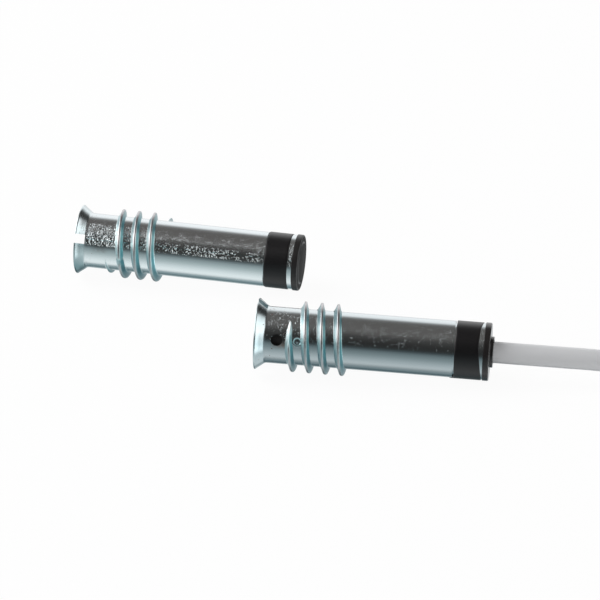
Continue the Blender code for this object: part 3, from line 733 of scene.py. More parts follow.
# The thread. Its flanks are as long as they are along the barrel, from the crest to the root.
THREADED = (4.5, 17.6)
THREAD_PITCH = 2.9
THREAD_HEIGHT = 1.3
THREAD_HEAD_FLANK = 0.86
THREAD_PLUG_FLANK = 0.62
THREAD_HALF_CREST = 0.22
CREST_DROP = 0.08
FLANK_HOLLOW = 1.4
THREAD_FOOT = 0.12
RUN_OUT_SHAPE = 0.8
RUN_OUT_WIDTH = 0.25
# Where the passivation's film and the painted reflection between the ridges lie on the flanks, and
# where the crest is worn.
FILM_AND_REFLECTION_ON_HEAD_FLANK = 0.35
FILM_AND_REFLECTION_TURNS_OVER = 0.3
FILM_AND_REFLECTION_FADES = 0.35
CREST_WORN_FROM = 1.2
CREST_WEAR_FADES = 0.08
# The switch unit's side hole, at an angle from straight up, and the stake mark behind it.
HOLE_RADIUS = 1.025
HOLE_AT = 4.0
HOLE_ANGLE = 76.3
DRILL_LENGTH = 3.0
DRILL_SIDES = 48
STAKE_RADIUS = 0.72
STAKE_AT = 7.65
STAKE_DEPTH = 0.09
STAKE_SOFTNESS = 0.2
STAKE_REACH = 1.2
NUB_RADIUS = 0.26
NUB_HEIGHT = 0.07
LIP_HEIGHT = 0.03
LIP_OUT = 0.1
LIP_WIDTH = 0.12
# The stake's painted highlight ring, coloured as the thread's film: how strong it is, how far
# inside the groove's edge it lies, and how wide.
STAKE_HIGHLIGHT = 0.55
STAKE_HIGHLIGHT_IN = 0.08
STAKE_HIGHLIGHT_WIDTH = 0.11


def outline_arc(centre_radius, centre_height, size, start, end, steps=3):
    """Points of an arc in the (radius, height) plane, angles in degrees from straight out."""
    angles = [math.radians(start + (end - start) * i / steps) for i in range(steps + 1)]
    return [
        (centre_radius + size * math.cos(a), centre_height + size * math.sin(a)) for a in angles
    ]


def lathe(name, outline, around, closed):
    """Turns a piece in mm from an outline of (radius, height) points, as on a lathe.

    The outline's outer side runs from the plug end to the head. A closed outline gives a tube,
    and an open one starts and ends on the axis.
    """
    bpy.ops.object.select_all(action="DESELECT")
    bpy.ops.mesh.primitive_plane_add(size=0.1)
    piece = bpy.context.object
    piece.name = name
    bpy.ops.object.mode_set(mode="EDIT")
    bpy.ops.mesh.select_mode(type="VERT")
    bpy.ops.mesh.select_all(action="SELECT")
    bpy.ops.mesh.merge(type="CENTER")
    bpy.ops.mesh.select_all(action="SELECT")
    points = [Vector((r, 0, h)) for r, h in outline]
    if closed:
        points.append(points[0])
    bpy.ops.transform.translate(value=points[0])
    for here, there in zip(points, points[1:], strict=False):
        bpy.ops.mesh.extrude_region_move(TRANSFORM_OT_translate={"value": there - here})
    bpy.ops.mesh.select_all(action="SELECT")
    bpy.ops.mesh.spin(steps=around, angle=math.tau, center=(0, 0, 0), axis=(0, 0, 1))
    bpy.ops.mesh.select_all(action="SELECT")
    bpy.ops.mesh.remove_doubles(threshold=MERGED_WITHIN)
    bpy.ops.mesh.normals_make_consistent(inside=False)
    bpy.ops.object.mode_set(mode="OBJECT")
    return piece


def sleeve_outline():
    """The wall from the plug end over the outside to the rim, and back along the bore."""
    rows = round((THREADED[1] - THREADED[0]) / ROW)
    threaded = [
        (BARREL_RADIUS, THREADED[1] - (THREADED[1] - THREADED[0]) * i / rows)
        for i in range(rows + 1)
    ]
    row_length, row_count = BARREL_ROWS
    mouth_end = RIM_INSIDE - BORE_RADIUS
    return [
        (BARREL_RADIUS - END_CHAMFER, SLEEVE_LENGTH),
        (BARREL_RADIUS, SLEEVE_LENGTH - END_CHAMFER),
        (BARREL_RADIUS, COLLAR_END),
        (GROOVE_RADIUS, COLLAR_END),
        (GROOVE_RADIUS, COLLAR_START),
        (BARREL_RADIUS, COLLAR_START),
        *[(BARREL_RADIUS, COLLAR_START - row_length * i) for i in range(1, row_count + 1)],
        *threaded,
        *[(BARREL_RADIUS, row) for row in NECK_ROWS],
        *[(BARREL_RADIUS + out, FLARE_LENGTH + back) for out, back in FLARE_CURVE],
        (FLARE_RADIUS + FLARE_LAND[0], FLARE_LAND[1]),
        *outline_arc(FLARE_RADIUS - RIM_ROUND, RIM_ROUND_AT, RIM_ROUND, 25, -90, 6),
        *[(RIM_INSIDE + out, back) for out, back in MOUTH_EDGE],
        *[(BORE_RADIUS + out, mouth_end + back) for out, back in BORE_EDGE],
        (BORE_RADIUS, SLEEVE_LENGTH),
    ]


def ridge_height(off_crest):
    """The thread's height above the barrel: a narrow rounded crest between hollow flanks."""
    root = THREAD_PLUG_FLANK if off_crest > 0 else THREAD_HEAD_FLANK
    off = abs(off_crest)
    if off >= root:
        return 0.0
    shoulder = THREAD_HEIGHT - CREST_DROP
    if off <= THREAD_HALF_CREST:
        return THREAD_HEIGHT - CREST_DROP * (off / THREAD_HALF_CREST) ** 2
    down = (root - off) / (root - THREAD_HALF_CREST)
    return shoulder * down**FLANK_HOLLOW


def raise_thread(piece, thread, chips):
    """Moves the outer wall out along the thread's helix. Chips are (degrees, width, depth).

    The film attribute is 1 where the passivation pools and where the ridges' painted reflection
    of each other lies, mostly on the flanks that face the plug, the worn one is 1 where the crest
    is rubbed, and the ridge one is 1 all over the thread.
    """
    first_turn = math.floor((thread["start"] + 180) / 360)
    last_turn = math.floor((thread["end"] + 180) / 360)
    film_and_reflection = piece.data.attributes.new("film_and_reflection", "FLOAT", "POINT").data
    ridge = piece.data.attributes.new("ridge", "FLOAT", "POINT").data
    worn = piece.data.attributes.new("worn", "FLOAT", "POINT").data
    for vertex in piece.data.vertices:
        x, y, z = vertex.co
        radius = math.hypot(x, y)
        if radius < BARREL_RADIUS - SKIN or not THREADED[0] <= z <= THREADED[1]:
            continue
        first = math.degrees(math.atan2(y, x))
        best = 0.0
        full = 0.0
        for turn in range(first_turn, last_turn + 1):
            degrees = first + 360 * turn
            if not thread["start"] <= degrees <= thread["end"]:
                continue
            rise = smooth((degrees - thread["start"]) / thread["rise"])
            fall = smooth((thread["end"] - degrees) / thread["fall"])
            height = min(rise, fall) ** RUN_OUT_SHAPE
            for middle, width, depth in chips:
                height -= depth * math.exp(-(((degrees - middle) / width) ** 2))
            narrow = RUN_OUT_WIDTH + (1 - RUN_OUT_WIDTH) * height
            crest_at = thread["top_at"] + THREAD_PITCH * degrees / 360
            off = z - crest_at - thread["drift"] * (1 - rise)
            raised = height * ridge_height(off / narrow)
            if raised > best:
                best = raised
                # Painted reflection: the flanks that face the plug see the next ridge, so they get
                # the most film colour.
                on_plug_flank = smooth(off / FILM_AND_REFLECTION_TURNS_OVER + 0.5)
                full = height * (FILM_AND_REFLECTION_ON_HEAD_FLANK + (1 - FILM_AND_REFLECTION_ON_HEAD_FLANK) * on_plug_flank)
        scale = (radius + best) / radius
        vertex.co = (x * scale, y * scale, z)
        on_ridge = smooth(best / THREAD_FOOT)
        below_crest = smooth((CREST_WORN_FROM - best) / FILM_AND_REFLECTION_FADES)
        film_and_reflection[vertex.index].value = full * on_ridge * below_crest
        worn[vertex.index].value = smooth((best - CREST_WORN_FROM) / CREST_WEAR_FADES)
        ridge[vertex.index].value = on_ridge


def press_stake(piece):
    """Presses the round stake mark: a ring groove round a small nub, with a painted highlight ring
    in the groove.
    """
    film_and_reflection = piece.data.attributes["film_and_reflection"].data
    ridge = piece.data.attributes["ridge"].data
    angle = math.radians(HOLE_ANGLE)
    for vertex in piece.data.vertices:
        x, y, z = vertex.co
        radius = math.hypot(x, y)
        if radius < BARREL_RADIUS - SKIN or abs(z - STAKE_AT) > STAKE_REACH:
            continue
        round_off = math.remainder(math.atan2(y, x) - angle, math.tau) * BARREL_RADIUS
        off = math.hypot(round_off, z - STAKE_AT)
        dip = STAKE_DEPTH * smooth((STAKE_RADIUS - off) / STAKE_SOFTNESS)
        dip -= NUB_HEIGHT * smooth((NUB_RADIUS - off) / STAKE_SOFTNESS)
        lip = LIP_HEIGHT * math.exp(-(((off - STAKE_RADIUS - LIP_OUT) / LIP_WIDTH) ** 2))
        scale = (radius - dip + lip) / radius
        vertex.co = (x * scale, y * scale, z)
        # Painted highlight: a light ring in the groove, coloured as the thread is.
        ring = math.exp(-(((off - STAKE_RADIUS + STAKE_HIGHLIGHT_IN) / STAKE_HIGHLIGHT_WIDTH) ** 2))
        film_and_reflection[vertex.index].value = max(film_and_reflection[vertex.index].value, STAKE_HIGHLIGHT * ring)
        ridge[vertex.index].value = max(ridge[vertex.index].value, ring)


def cut(piece, tool):
    """Cuts a tool from a piece, then throws the tool away."""
    step = piece.modifiers.new("cut", "BOOLEAN")
    step.operation = "DIFFERENCE"
    step.solver = "EXACT"
    step.object = tool
    apply_all(piece)
    bpy.data.objects.remove(tool, do_unlink=True)


def make_sleeve(name, thread, chips, slot_angle, drilled):
    """One sleeve in its own frame, slotted at an angle from straight up."""
    piece = lathe(name, sleeve_outline(), AROUND, closed=True)
    raise_thread(piece, thread, chips)
    if drilled:
        press_stake(piece)
    slot = add_block("slot", (3 * FLARE_RADIUS, SLOT_WIDTH, 2 * SLOT_DEPTH), (0, 0, 0))
    slot.rotation_euler = (0, 0, math.radians(slot_angle))
    cut(piece, slot)
    if drilled:
        angle = math.radians(HOLE_ANGLE)
        out = Vector((math.cos(angle), math.sin(angle), 0))
        hole_place = out * BARREL_RADIUS + Vector((0, 0, HOLE_AT))
        bpy.ops.object.select_all(action="DESELECT")
        bpy.ops.mesh.primitive_cylinder_add(
            vertices=DRILL_SIDES, radius=HOLE_RADIUS, depth=DRILL_LENGTH, location=hole_place
        )
        drill = bpy.context.object
        drill.rotation_euler = out.to_track_quat("Z", "Y").to_euler()
        cut(piece, drill)
    return piece


def place_in_unit(tree, unit):
    """A socket of the place in a unit's own frame, in mm."""
    place = add_node(tree, "ShaderNodeTexCoord")
    mapping = add_node(
        tree,
        "ShaderNodeMapping",
        {"vector_type": "TEXTURE"},
        {
            "Vector": place.outputs["Object"],
            "Location": unit.to_translation(),
            "Rotation": unit.to_euler(),
            "Scale": (MM, MM, MM),
        },
    )
    return mapping.outputs["Vector"]


# Places on the sleeves. Along the barrel they are in mm from the rim. Across its turned-up front
# they go from -1 at the lower edge over 0 in the middle to 1 at the upper edge, and the thread
# and the flare, which stand out, reach 1.3. A pair fades in from its first value to its second,
# and three values are a band's two limits and how soft they are.
FRONT_UP = 0.916 / BARREL_RADIUS
FRONT_NEAR = -0.4 / BARREL_RADIUS
FRONT_FROM = {"From Min": 0.0, "From Max": 0.4 * BARREL_RADIUS}
ON_FLARE = {"From Min": 2.0, "From Max": 1.5}
BEYOND_FLARE = {"From Min": 1.6, "From Max": 2.4}
NEAR_FLARE = {"From Min": 7.0, "From Max": 4.0}
HEAD_END = {"From Min": 15.0, "From Max": 10.0}
PLUG_END = {"From Min": 33.0, "From Max": 36.0}
TOP_FROM = {"From Min": -0.2, "From Max": 0.2}
SCUFFED_FROM = {"From Min": -0.22, "From Max": -0.08}
SCUFFED_TO = {"From Min": 0.06, "From Max": -0.1}
DULL_BAND = (0.3, 0.74, 0.12)
DRAWN_LINE = (0.025, 0.05, 0.012)
STAINED_ALONG = (3.4, 5.9, 0.8)
STAINED_ACROSS = (-0.42, -0.12, 0.1)

# Patterns, in marks a millimetre. Tumbling in the plating drum dents the zinc by marks of a few
# hundredths of a millimetre, and its crystals are as small. That is too fine to show in the
# render, whose pixels are about 0.18 mm, so both are drawn 0.1 to 0.3 mm wide. Depths are in mm.
# The first four are pairs: the value without scuffing, and what full scuffing adds to it.
DENTS = (11.0, -2.6)
DENT_DEPTH = (0.055, 0.06)
DENTED_UP_TO = (0.62, -0.44)
FROST_STRENGTH = (0.42, -0.04)
DENT_SHAPE = (0.8, 1.0, 0.8)
DENTED_HIGHER_AT_ENDS = 0.42
DENT_CHOICE = {"From Min": 0.0, "From Max": 0.12}
# The fewest and the most dents in a patch where scuffing is full, as shares of all the places
# for one, how many more there are at the ends, and the same share for the knocks.
DENT_SHARES = (0.08, 0.3)
DENSER_AT_ENDS = 0.04
KNOCK_SHARE = 0.3
KNOCKS = 4.6
KNOCK_SHAPE = (0.6, 0.6, 1.2)
KNOCK_DEPTH = 0.13
FROST = 12.0
FROST_SHARE = 0.9
FROST_DEPTH = 0.05
CRYSTALS = 7.0
CRYSTAL_SHAPE = (1.0, 1.0, 0.45)
CRYSTAL_DEPTH = 0.015
CRYSTAL_STRENGTH = 0.2
# Patches where there are more dents, clouds in the dull band, breaks in the drawn line, rust
# specks and rust stains are 0.5 to 1.5 mm long, as in the photo.
PATCHES = 0.7
PATCH_EDGES = {"From Min": 0.35, "From Max": 0.65}
CLOUDS = 1.1
CLOUD_SHAPE = (1.0, 1.0, 0.6)
CLOUD_EDGES = {"From Min": 0.36, "From Max": 0.72, "To Min": 0.1}
LINE_BREAKS = 1.5
BREAK_SHAPE = (0.2, 0.2, 1.0)
BREAK_EDGES = {"From Min": 0.4, "From Max": 0.6, "To Min": 0.2}
SPECKS = 1.9
SPECK_EDGES = {"From Min": 0.7, "From Max": 0.76}
STAINS = 1.3
STAIN_EDGES = {"From Min": 0.3, "From Max": 0.6, "To Min": 0.1, "To Max": 0.95}

# How much the thread's painted highlight and shade, the film with its painted reflection, and the
# worn crest change the plating's colour and gloss.
THREAD_PAINTED_LIGHT_SHARE = 0.85
FILM_PAINTED_LIGHT_SHARE = 0.85
FILM_IN_LINE = 0.5
FILM_ON_FLARE = 0.12
WORN_COLOUR_SHARE = 0.7
THREAD_DULLNESS = 0.3
ROUGHNESS_RANGE = {"To Min": 0.19, "To Max": 0.6}
METAL_RANGE = {"To Min": 1.0, "To Max": 0.45}
WORN_CREST = "b9b0b1"
RUST_SPECK = "7a5040"
RUST_STAIN = "93796c"

# The thread's colours across, as painted highlight and shade: white where the flanks face the
# light, teal towards the lower edge, greyer on top. The first ramp is for the flanks towards the
# head, the second for those where the passivation's film pools and the ridges' painted reflection
# of each other lies.
THREAD_PAINTED_LIGHT = (
    (-1.3, "6f9da4"),
    (-0.85, "8fb6bb"),
    (-0.4, "cde6e8"),
    (-0.05, "eefafa"),
    (0.1, "ffffff"),
    (0.4, "ffffff"),
    (0.62, "9db3b7"),
    (0.95, "8fa3a7"),
    (1.3, "c3ced0"),
)
FILM_PAINTED_LIGHT = (
    (-1.3, "2c6672"),
    (-0.85, "3f8c99"),
    (-0.4, "60c3cf"),
    (-0.05, "7fdce5"),
    (0.1, "a4f4fb"),
    (0.4, "a0f0f8"),
    (0.62, "6fb9c4"),
    (0.95, "63a6b0"),
    (1.3, "a5ccd1"),
)

# The same painted highlight and shade for the flares. The magnet unit's is painted darker
# underneath.
SWITCH_FLARE_PAINTED_LIGHT = (
    (-1.3, "d4dee0"),
    (-0.79, "ccd6d9"),
    (-0.36, "b3bec1"),
    (0.07, "d6dddf"),
    (0.54, "bcc3c5"),
    (1.3, "c8cfd1"),
)
MAGNET_FLARE_PAINTED_LIGHT = (
    (-1.3, "6c8a8e"),
    (-1.0, "7f9ca0"),
    (-0.69, "bccacc"),
    (-0.37, "dfe9ea"),
    (0.1, "cfd5d7"),
    (1.3, "cfd5d7"),
)


def dents(tree, vector, scale, share):
    """Small round dents, so many a millimetre, of which a random share is there."""
    cells = add_node(
        tree, "ShaderNodeTexVoronoi", inputs={"Vector": vector, "Scale": scale, "Randomness": 1.0}
    )
    lot = add_node(tree, "ShaderNodeSeparateXYZ", inputs={0: cells.outputs["Color"]})
    missing = add_node(tree, "ShaderNodeMath", {"operation": "SUBTRACT"}, {0: share, 1: 1.0})
    there = add_node(tree, "ShaderNodeMath", {"operation": "ADD"}, {0: lot, 1: missing})
    chosen = add_node(tree, "ShaderNodeMapRange", SMOOTH, {"Value": there, **DENT_CHOICE})
    return all_of(tree, cells, chosen)


def zinc_plate(name, unit, tops, unders_painted_light, flare_painted_light, scuffing, flare_scuffing, rust, seam):
    """Bright zinc plating on drawn steel, blue-passivated in a bath and tumbled.

    To the eye it is a blue-white mirror with a fine grain, which turns to glittering flecks
    where it is dented, to a dull satin band above them, and to cyan where the film pools. On the
    thread that cyan is also a painted reflection between the ridges, and the thread and the flare
    carry painted highlight and shade.

    unit is the unit's frame, so that the grain runs along its barrel. The next two are the
    plating's colours above and below, and the one below is painted light: lighter or darker than
    the one above, for how brightly the lower side reflects the floor. The third is the painted
    highlight and shade across the flare. scuffing is how densely the side that is turned up to
    the front is dented by tumbling in the plating drum, flare_scuffing the share of that on the
    flare, rust how strong the rust-brown specks by the flare are, and seam how strong the drawn
    line along the barrel is.
    """
    made = new_material(name, tops, ROUGHNESS_RANGE["To Min"], METAL_RANGE["To Min"])
    tree = made.node_tree
    shader = tree.nodes["Principled BSDF"].inputs
    in_unit = place_in_unit(tree, unit)
    dents_a_mm, dent_depth, dented_up_to, frost_strength = (
        bare + added * scuffing
        for bare, added in (DENTS, DENT_DEPTH, DENTED_UP_TO, FROST_STRENGTH)
    )
    dent_place, knock_place, cloud_place, crystal_place, break_place = (
        add_node(tree, "ShaderNodeMapping", inputs={"Vector": in_unit, "Scale": shape})
        for shape in (DENT_SHAPE, KNOCK_SHAPE, CLOUD_SHAPE, CRYSTAL_SHAPE, BREAK_SHAPE)
    )
    film_and_reflection, worn, ridge = (
        add_node(tree, "ShaderNodeAttribute", {"attribute_name": attribute}).outputs["Fac"]
        for attribute in ("film_and_reflection", "worn", "ridge")
    )

    # Where the barrel's open front is, clear of the thread and mostly clear of the flare.
    axes = add_node(tree, "ShaderNodeSeparateXYZ", inputs={0: in_unit}).outputs
    up, near_side, along_barrel = axes["X"], axes["Y"], axes["Z"]
    leaning = all_of(tree, near_side, FRONT_NEAR)
    across = add_node(
        tree, "ShaderNodeMath", {"operation": "MULTIPLY_ADD"}, {0: up, 1: FRONT_UP, 2: leaning}
    )
    in_front = add_node(tree, "ShaderNodeMapRange", SMOOTH, {"Value": near_side, **FRONT_FROM})
    off_thread = add_node(tree, "ShaderNodeMath", {"operation": "SUBTRACT"}, {0: 1.0, 1: ridge})
    head_end, plug_end, on_flare, near_flare = (
        add_node(tree, "ShaderNodeMapRange", SMOOTH, {"Value": along_barrel, **span})
        for span in (HEAD_END, PLUG_END, ON_FLARE, NEAR_FLARE)
    )
    limits = {"Value": along_barrel, **BEYOND_FLARE, "To Min": flare_scuffing}
    beyond_flare = add_node(tree, "ShaderNodeMapRange", inputs=limits)
    open_front = all_of(tree, in_front, off_thread, beyond_flare)

    # The tumbling's dents are patchy, and denser and higher up at both ends.
    ends = add_node(tree, "ShaderNodeMath", {"operation": "MAXIMUM"}, {0: head_end, 1: plug_end})
    limit = add_node(
        tree,
        "ShaderNodeMath",
        {"operation": "MULTIPLY_ADD"},
        {0: ends, 1: DENTED_HIGHER_AT_ENDS, 2: dented_up_to},
    )
    over = add_node(tree, "ShaderNodeMath", {"operation": "SUBTRACT"}, {0: across, 1: limit})
    below_limit = add_node(tree, "ShaderNodeMapRange", SMOOTH, {"Value": over, **SCUFFED_TO})
    above_edge = add_node(tree, "ShaderNodeMapRange", SMOOTH, {"Value": across, **SCUFFED_FROM})
    scuffed = all_of(tree, below_limit, above_edge, open_front)
    patches = add_node(tree, "ShaderNodeTexNoise", inputs={"Vector": in_unit, "Scale": PATCHES})
    fewest, most = (share * scuffing for share in DENT_SHARES)
    limits = {"Value": patches, **PATCH_EDGES, "To Min": fewest, "To Max": most}
    patchy = add_node(tree, "ShaderNodeMapRange", inputs=limits)
    density = add_node(
        tree,
        "ShaderNodeMath",
        {"operation": "MULTIPLY_ADD"},
        {0: ends, 1: DENSER_AT_ENDS * scuffing, 2: patchy},
    )
    dented = dents(tree, dent_place, dents_a_mm, density)

    # Larger knocks run round the barrel at its head end, where the units strike each other.
    knocks = dents(tree, knock_place, KNOCKS, KNOCK_SHARE * scuffing)
    knocked = all_of(tree, scuffed, head_end)

    # The dull band above the dents is frosted in clouds, and the crystals' grain is all over.
    clouds = add_node(
        tree,
        "ShaderNodeTexNoise",
        inputs={"Vector": cloud_place, "Scale": CLOUDS, "Detail": 4.0, "Roughness": 0.7},
    )
    cloudy = add_node(tree, "ShaderNodeMapRange", inputs={"Value": clouds, **CLOUD_EDGES})
    in_band = band(tree, across, *DULL_BAND)
    dulled = all_of(tree, in_band, cloudy, open_front, frost_strength)
    frost = dents(tree, in_unit, FROST, FROST_SHARE)
    crystals = add_node(
        tree,
        "ShaderNodeTexNoise",
        inputs={"Vector": crystal_place, "Scale": CRYSTALS, "Detail": 3.0, "Roughness": 0.6},
    )
    relief = (
        (dented, scuffed, dent_depth),
        (knocks, knocked, KNOCK_DEPTH),
        (frost, dulled, FROST_DEPTH),
        (crystals, CRYSTAL_STRENGTH, CRYSTAL_DEPTH),
    )
    below = {}
    for marks, strength, depth in relief:
        inputs = {"Height": marks, "Strength": strength, "Distance": depth * MM, **below}
        surface = add_node(tree, "ShaderNodeBump", inputs=inputs)
        below = {"Normal": surface}
    tree.links.new(surface.outputs["Normal"], shader["Normal"])

    # The film is thick on the thread, where it also stands for a painted reflection between the
    # ridges, and in the broken drawn line, and thin on the flare.
    breaks = add_node(
        tree, "ShaderNodeTexNoise", inputs={"Vector": break_place, "Scale": LINE_BREAKS}
    )
    broken = add_node(tree, "ShaderNodeMapRange", inputs={"Value": breaks, **BREAK_EDGES})
    drawn_line = all_of(tree, band(tree, across, *DRAWN_LINE), broken, open_front)
    film_and_reflection = add_node(
        tree,
        "ShaderNodeMath",
        {"operation": "MULTIPLY_ADD"},
        {0: drawn_line, 1: FILM_IN_LINE * seam, 2: film_and_reflection},
    )
    thin_film = all_of(tree, on_flare, FILM_ON_FLARE)
    film_and_reflection = add_node(tree, "ShaderNodeMath", {"operation": "MAXIMUM"}, {0: film_and_reflection, 1: thin_film})

    # Rust shows as a few brown specks near the flare and as faint stains low on the front there.
    spots = add_node(
        tree, "ShaderNodeTexNoise", inputs={"Vector": in_unit, "Scale": SPECKS, "Detail": 1.0}
    )
    rusted = add_node(tree, "ShaderNodeMapRange", SMOOTH, {"Value": spots, **SPECK_EDGES})
    specks = all_of(tree, rusted, near_flare, rust)
    blots = add_node(
        tree, "ShaderNodeTexNoise", inputs={"Vector": in_unit, "Scale": STAINS, "Detail": 3.0}
    )
    stained = add_node(tree, "ShaderNodeMapRange", inputs={"Value": blots, **STAIN_EDGES})
    low_front = all_of(
        tree, band(tree, along_barrel, *STAINED_ALONG), band(tree, across, *STAINED_ACROSS)
    )
    stains = all_of(tree, stained, low_front, rust, off_thread)

    # Painted light: below the middle the plating takes its colour below, lighter or darker than
    # its top, for how brightly the floor is reflected there. The ramps across the flare, the
    # thread and the film are painted highlight and shade, and the film's is also a painted
    # reflection between the ridges.
    top_side = add_node(tree, "ShaderNodeMapRange", SMOOTH, {"Value": across, **TOP_FROM})
    plating = lay_colours(
        tree,
        (*linear(unders_painted_light), 1),
        (top_side, (*linear(tops), 1)),
        (on_flare, level_ramp(tree, across, flare_painted_light)),
        (all_of(tree, ridge, THREAD_PAINTED_LIGHT_SHARE), level_ramp(tree, across, THREAD_PAINTED_LIGHT)),
        (all_of(tree, film_and_reflection, FILM_PAINTED_LIGHT_SHARE), level_ramp(tree, across, FILM_PAINTED_LIGHT)),
        (all_of(tree, worn, WORN_COLOUR_SHARE), (*linear(WORN_CREST), 1)),
        (specks, (*linear(RUST_SPECK), 1)),
        (stains, (*linear(RUST_STAIN), 1)),
    )
    tree.links.new(plating, shader["Base Color"])

    # Specks and the thread are duller, and the film makes the thread less like bare metal.
    on_thread = all_of(tree, ridge, THREAD_DULLNESS)
    dull = add_node(tree, "ShaderNodeMath", {"operation": "MAXIMUM"}, {0: specks, 1: on_thread})
    roughness = add_node(tree, "ShaderNodeMapRange", inputs={"Value": dull, **ROUGHNESS_RANGE})
    tree.links.new(roughness.outputs[0], shader["Roughness"])
    unworn = add_node(tree, "ShaderNodeMath", {"operation": "SUBTRACT"}, {0: 1.0, 1: worn})
    filmed = all_of(tree, ridge, unworn)
    metallic = add_node(tree, "ShaderNodeMapRange", inputs={"Value": filmed, **METAL_RANGE})
    tree.links.new(metallic.outputs[0], shader["Metallic"])
    return made


# Each unit's thread: where it starts and ends and how long it runs in and out, in degrees round
# the barrel, how far from the rim its crest is at 0 degrees, and how far back it runs in, in mm.
# Each of its chips is a place and a width in degrees, and a share of the thread's height.
SWITCH_THREAD = {"start": -330, "end": 1000, "rise": 60, "fall": 60, "top_at": 8.5, "drift": 0.35}
SWITCH_CHIPS = ((-287, 9, 0.16),)
# The colour below is painted light: darker than the top on the switch unit and lighter on the
# magnet unit, for how brightly each lower side reflects the floor.
SWITCH_PLATING = {
    "tops": "c8cfd1",
    "unders_painted_light": "b3bec1",
    "flare_painted_light": SWITCH_FLARE_PAINTED_LIGHT,
    "scuffing": 0.22,
    "flare_scuffing": 0.0,
    "rust": 0.8,
    "seam": 0.0,
}
MAGNET_THREAD = {"start": -257, "end": 1074, "rise": 140, "fall": 60, "top_at": 7.8, "drift": 0.0}
MAGNET_CHIPS = ((99, 4, 0.25),)
MAGNET_PLATING = {
    "tops": "cfd5d7",
    "unders_painted_light": "e9f2f3",
    "flare_painted_light": MAGNET_FLARE_PAINTED_LIGHT,
    "scuffing": 1.0,
    "flare_scuffing": 0.1,
    "rust": 0.3,
    "seam": 1.0,
}
SLEEVES = (
    # unit, its frame, thread, chips, slot's angle from straight up, side hole, plating
    ("switch", SWITCH_FRAME, SWITCH_THREAD, SWITCH_CHIPS, -4, True, SWITCH_PLATING),
    ("magnet", MAGNET_FRAME, MAGNET_THREAD, MAGNET_CHIPS, 66, False, MAGNET_PLATING),
)
SLEEVE_SMOOTH_ANGLE = 40

for unit_name, unit, thread, chips, slot_angle, drilled, looks in SLEEVES:
    sleeve = make_sleeve(f"{unit_name}_unit_sleeve", thread, chips, slot_angle, drilled)
    settle(sleeve, unit)
    smooth_shade(sleeve, SLEEVE_SMOOTH_ANGLE)
    plated = zinc_plate(f"zinc_plated_steel_{unit_name}", unit, **looks)
    dress(sleeve, plated, "zinc_plated_steel", f"{unit_name}_sleeve")


# Collars. A short sleeve of black rubber stretched into the shallow groove near the plug end.
# Its edges wander, and the one towards the plug is drawn back on the near side.
COLLAR_RADIUS = 5.1
COLLAR_INSIDE = 4.8
COLLAR_ROUND = 0.12
COLLAR_ROWS = 12
COLLAR_AROUND = 128
WANDER = 0.02
WANDER_WAVES = 5
WANDER_COUNTS = (2, 11)
UNDER_LIP_ANGLE = 165
UNDER_LIP_SPREAD = 0.2
BOW_ANGLE = 45
COLLARS = (
    # unit, its frame, start and end beyond the groove's, random seed, bow, lip
    ("magnet", MAGNET_FRAME, 0.1, -0.05, 3, 0.0, 0.0),
    ("switch", SWITCH_FRAME, 0.25, 0.65, 8, 0.7, 0.9),
)


def make_collar(name, start, end, seed, bow, lip):
    """One collar in its unit's frame.

    bow is how far its rear edge is drawn in on the near side, and lip how far its front edge
    is drawn out underneath.
    """
    straight = end - start - 2 * COLLAR_ROUND
    rows = [end - COLLAR_ROUND - straight * i / COLLAR_ROWS for i in range(1, COLLAR_ROWS)]
    outline = [
        (COLLAR_INSIDE, end),
        *outline_arc(COLLAR_RADIUS - COLLAR_ROUND, end - COLLAR_ROUND, COLLAR_ROUND, 90, 0),
        *[(COLLAR_RADIUS, row) for row in rows],
        *outline_arc(COLLAR_RADIUS - COLLAR_ROUND, start + COLLAR_ROUND, COLLAR_ROUND, 0, -90),
        (COLLAR_INSIDE, start),
    ]
    piece = lathe(name, outline, COLLAR_AROUND, closed=True)
    draw = random.Random(seed).uniform
    waves = [(draw(*WANDER_COUNTS), draw(0, math.tau)) for _ in range(WANDER_WAVES)]
    for vertex in piece.data.vertices:
        x, y, z = vertex.co
        angle = math.atan2(y, x)
        ragged = sum(math.sin(round(n) * angle + phase) for n, phase in waves) * WANDER
        share = (z - start) / (end - start)
        under = math.remainder(angle - math.radians(UNDER_LIP_ANGLE), math.tau)
        drawn = lip * math.exp(-((under / UNDER_LIP_SPREAD) ** 2)) * smooth(1 - share * 2)
        nearby = math.remainder(angle - math.radians(BOW_ANGLE), math.tau)
        drawn += bow * math.exp(-(nearby**2)) * smooth(share * 2 - 1)
        vertex.co.z = z + ragged - drawn
    return piece


# Stretched rubber is deep black, with one soft light along the side that faces the lamp.
rubber = new_material("moulded_black_rubber", "111012", 0.36)
for unit_name, unit, start, end, seed, bow, lip in COLLARS:
    ends = (COLLAR_START + start, COLLAR_END + end)
    collar = make_collar(f"{unit_name}_unit_collar", *ends, seed, bow, lip)
    settle(collar, unit)
    smooth_shade(collar)
    dress(collar, rubber, "black_rubber", f"{unit_name}_collar")


